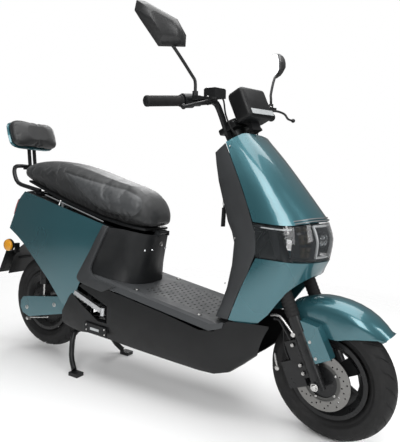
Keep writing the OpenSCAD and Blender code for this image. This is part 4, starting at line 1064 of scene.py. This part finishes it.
def headlight_inside():
    """Dark chamber with dividers, two stacks of lamp cells, a frosted guide and a projector."""
    walls = Kit()
    for across in (-2.3, -1.65, -0.95, 0.95, 1.65, 2.3):
        side = math.copysign(1, across)
        front = [lens_point(across, d, 9) for d in (0.25, 0.7, 1.2, 1.8)]
        rear = [lens_point(across, d, 34) for d in (1.8, 1.2, 0.7, 0.25)]
        walls.slab(front + rear, 3.0, (0, side, 0))
    walls.piece("headlight_dividers", "black_plastic", "chassis", SMOKED)

    cells = Kit()
    for side in (-1, 1):
        for across in (1.15, 1.42):
            for row in range(5):
                place = lens_point(side * across, 0.42 + row * 0.30, 22)
                cells.box(place, (13, 13, 15), ((1, side * 0.4, 0), (-side * 0.4, 1, 0), (0, 0, 1)), 2.4)
    cells.piece("headlight_cells", "black_plastic", "chassis", LED_BLOCK)

    guide = Kit()
    run = [lens_point(a / 8, 0.22, 8) for a in range(-7, 8)]
    run += [lens_point(0.9, d / 8, 8) for d in range(3, 14)]
    run += [lens_point(a / 8, 1.74, 8) for a in range(7, -8, -1)]
    run += [lens_point(-0.9, d / 8, 8) for d in range(13, 2, -1)] + [lens_point(-0.875, 0.22, 8)]
    guide.tube(run, 4.2, 10)
    for side in (-1, 1):
        guide.tube([lens_point(side * a / 8, 0.3, 9) for a in range(14, 22)], 2.2, 8)
    guide.piece("headlight_guide", "clear_lens", "chassis", GUIDE)

    ring = Kit()
    middle = at(WHEELBASE - 66, 0, 632)
    for y in (-20, 20):
        hub = middle + Vector((0, y * MM, 0))
        ring.rings(hub, (1, 0, 0), [(17, -14), (18, 0), (19, 8), (17, 11), (15, 8), (14, 0), (3, -2)], 36)
    ring.piece("projector_rims", "bright_trim", "chassis")
    ball = Kit()
    for y in (-20, 20):
        hub = middle + Vector((0, y * MM, 0))
        ball.rings(hub, (1, 0, 0), [(14, -1), (14.5, 3), (12.5, 8), (9, 11.5), (4, 13.5), (0.6, 14)], 32)
    ball.piece("projector_lenses", "clear_lens", "chassis")


headlight_inside()

# ---- handlebar fittings ----


def mirror_head(name, body, side, head_at, sweep, tilt):
    """Glass on the rider's side of a mirror head and its deep back."""
    outline = [(-6, 0), (74, -4), (128, 68), (142, 88), (136, 116), (114, 116), (18, 74), (-8, 32)]
    middle = Vector((66, 56))
    place = (Matrix.Translation(head_at) @ Matrix.Rotation(math.radians(sweep), 4, "Z")
             @ Matrix.Rotation(math.radians(-tilt), 4, "X") @ Matrix.Translation((-12, 0, 0))
             @ Matrix.Rotation(math.radians(90), 4, "Z") @ Matrix.Rotation(math.radians(90), 4, "X"))
    glass = Kit()
    corners = []
    for p in outline:
        q = middle + (Vector(p) - middle) * 0.93
        spot = place @ Vector((q.x, q.y, 0))
        corners.append(steered(spot.x, side * spot.y, spot.z))
    way = place.to_3x3() @ Vector((0, 0, -1))
    glass.slab(corners, 0.7, steered_way(way.x, side * way.y, way.z))
    glass.piece("mirror_glass_" + name, "bright_trim", body, MIRROR_GLASS)

    # the deep faceted back: share of the outline and height behind the glass
    loops = []
    for share, back in ((1.0, 0.4), (1.03, 2.5), (1.0, 8), (0.84, 20), (0.80, 23), (0.56, 32), (0.5, 33.4)):
        loop = []
        for p in outline:
            q = middle + Vector((-6, -8)) * (1 - share) + (Vector(p) - middle) * share
            spot = place @ Vector((q.x, q.y, back))
            loop.append(steered(spot.x, side * spot.y, spot.z))
        loops.append(loop)
    o = Kit().loft(loops).piece("mirror_shell_" + name, "black_plastic", body, CARBON)
    edges = o.modifiers.new("Edges", "BEVEL")
    edges.width, edges.segments, edges.limit_method = 2.2 * MM, 2, "ANGLE"


def grip_piece(name, node, body, side):
    """Grip with a ribbed body, a collar at each end and a capped end."""
    start, end = bar_at(side * 234), bar_at(side * 358.2)
    way = (end - start).normalized()
    length = (end - start).length / MM
    profile = [(11.15, 0.0), (18.6, 0.0), (18.9, 3.0), (18.6, 6.0), (16.2, 7.5)]
    ribs = 26
    for i in range(ribs):
        z = 9 + i * (length - 24) / ribs
        profile += [(15.9, z), (16.5, z + 1.0), (16.5, z + 2.6), (15.9, z + 3.4)]
    profile += [(16.2, length - 13), (17.0, length - 11), (17.0, length - 3), (15.8, length - 0.6),
                (11.15, length)]
    kit = Kit()
    kit.rings(start, way, profile, 40)
    o = kit.piece(name, "rubber", body)
    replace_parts(o, node)
    cap = Kit()
    cap.rings(end - way * MM, way, [
        (13.5, 0), (13.5, 2.0), (12.4, 3.0), (8, 3.4), (7.4, 2.6), (1, 2.6)], 32)
    cap.piece(name + "_cap", "black_plastic", body)


# Foot of the shroud on the steering axis, and the rider's side of the display pod, in millimetres
NECK_LOW, POD_BACK = 800, 52
# Middle and size of the display pod along the steering axis
POD_MIDDLE, POD_SIZE = (86, 0, 906), (68, 144, 112)
AXIS_FRAME = (axis_way(1, 0, 0), axis_way(0, 1, 0), axis_way(0, 0, 1))


def bar_fittings():
    switches = Kit()
    for side in (-1, 1):
        along = (bar_at(side * 224) - bar_at(side * 200)).normalized()
        back = steered_way(-1, 0, 0.15)
        up = along.cross(back) * (-side)
        face = bar_at(side * 214) + back * 23 * MM
        for shift, size in ((-8, (5, 8, 6)), (4, (5, 7, 9))):
            switches.box(face + along * shift * MM + up * 4 * MM, size, (back, along, up), 1.2)
    switches.piece("switch_keys", "screen", "steering")
    caps = Kit()
    caps.box(steered(-373, -150, 1103), (44, 54, 4.5), (steered_way(1, 0, 0), steered_way(0, 1, 0),
                                                     steered_way(0, 0, 1)), 1.6)
    caps.piece("reservoir_cap", "black_metal", "steering")
    screws = Kit()
    for x, y in ((-388, -172), (-358, -128)):
        screws.screw(steered(x, y, 1105.2), steered_way(0, 0, 1), 3.2)
    for side in (-1, 1):
        screws.screw(steered(-372, side * 186, 1076), steered_way(0, 0, 1), 5.0)
    screws.piece("lever_screws", "steel", "steering")
    shroud = Kit()
    shroud.rings(on_axis(0, 0, NECK_LOW), HEAD_AXIS, [
        (30, 0), (36, 4), (37, 16), (33, 22), (32, 50), (35, 56), (36, 72), (30, 78), (29, 96)], 40)
    shroud.box(on_axis(4, 0, NECK_LOW + 64), (76, 120, 22), AXIS_FRAME, 6)
    shroud.piece("neck_shroud", "black_plastic", "steering")
    pod = Kit()
    pod.box(on_axis(*POD_MIDDLE), POD_SIZE, AXIS_FRAME, 16, 5)
    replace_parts(pod.piece("display_shell", "black_plastic", "steering"),
                "display_pod")
    glass = Kit()
    glass.box(on_axis(POD_BACK - 3.4, 0, 910), (1.6, 108, 68), AXIS_FRAME, 0.6)
    glass.piece("display_glass", "screen", "steering", DARK_GLASS)


mirror_head("left", "mirror_left", 1, (-405, 312, 1229), 42.9, 12.2)
mirror_head("right", "mirror_right", -1, (-388, 284, 1214), 35, 0)
grip_piece("grip_left", "left_grip", "steering", 1)
grip_piece("grip_throttle", "throttle_grip", "throttle", -1)
bar_fittings()

# ---- rear fittings ----


def lamp_at(side, out):
    """A place on an indicator's axis, out from the middle of the scooter."""
    return at(-170, side * out, 462)


def indicator_piece(side, name):
    """Amber dome in a black cup."""
    way = Vector((0, side, 0))
    lamp = Kit()
    lamp.rings(lamp_at(side, 106), way, [
        (24, 0), (26.4, 2), (26.4, 8), (24.5, 12), (19, 15), (9, 16.6), (1, 16.9)], 40)
    return lamp.piece("indicator_lens_" + name, "amber_lens", "chassis")


def rear_fittings():
    lamps = [indicator_piece(side, name) for side, name in ((-1, "right"), (1, "left"))]
    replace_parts(lamps[0], "indicators")
    cups = Kit()
    for side in (-1, 1):
        cups.rings(lamp_at(side, 92), (0, side, 0), [
            (8, -3), (12, 0), (24, 4), (28, 9), (28, 17), (25.5, 17.5), (24.5, 14.0), (6, 14.0)], 40)
    cups.piece("indicator_cups", "black_plastic", "chassis")
    dots = Kit()
    lean = math.radians(25)
    face = Vector((-math.cos(lean), 0, math.sin(lean)))
    front = -face
    for row in range(4):
        for k in range(-2, 3):
            down = 30 + row * 22
            spot = at(-222 - math.sin(lean) * down, k * 30, 425 - math.cos(lean) * down)
            dots.rings(spot + front * 1.2 * MM, front, [(4.5, -0.3), (4.5, 0.4), (3.4, 1.0), (1, 1.1)], 16)
    dots.piece("plate_dots", "rubber", "chassis")
    pods = Kit()
    pods.rings(at(-232.5, 0, 402), face, [(24, -1), (24, 1.6), (22, 3.0), (3, 3.4)], 40)
    pods.piece("rear_reflector", "red_lens", "chassis")


rear_fittings()
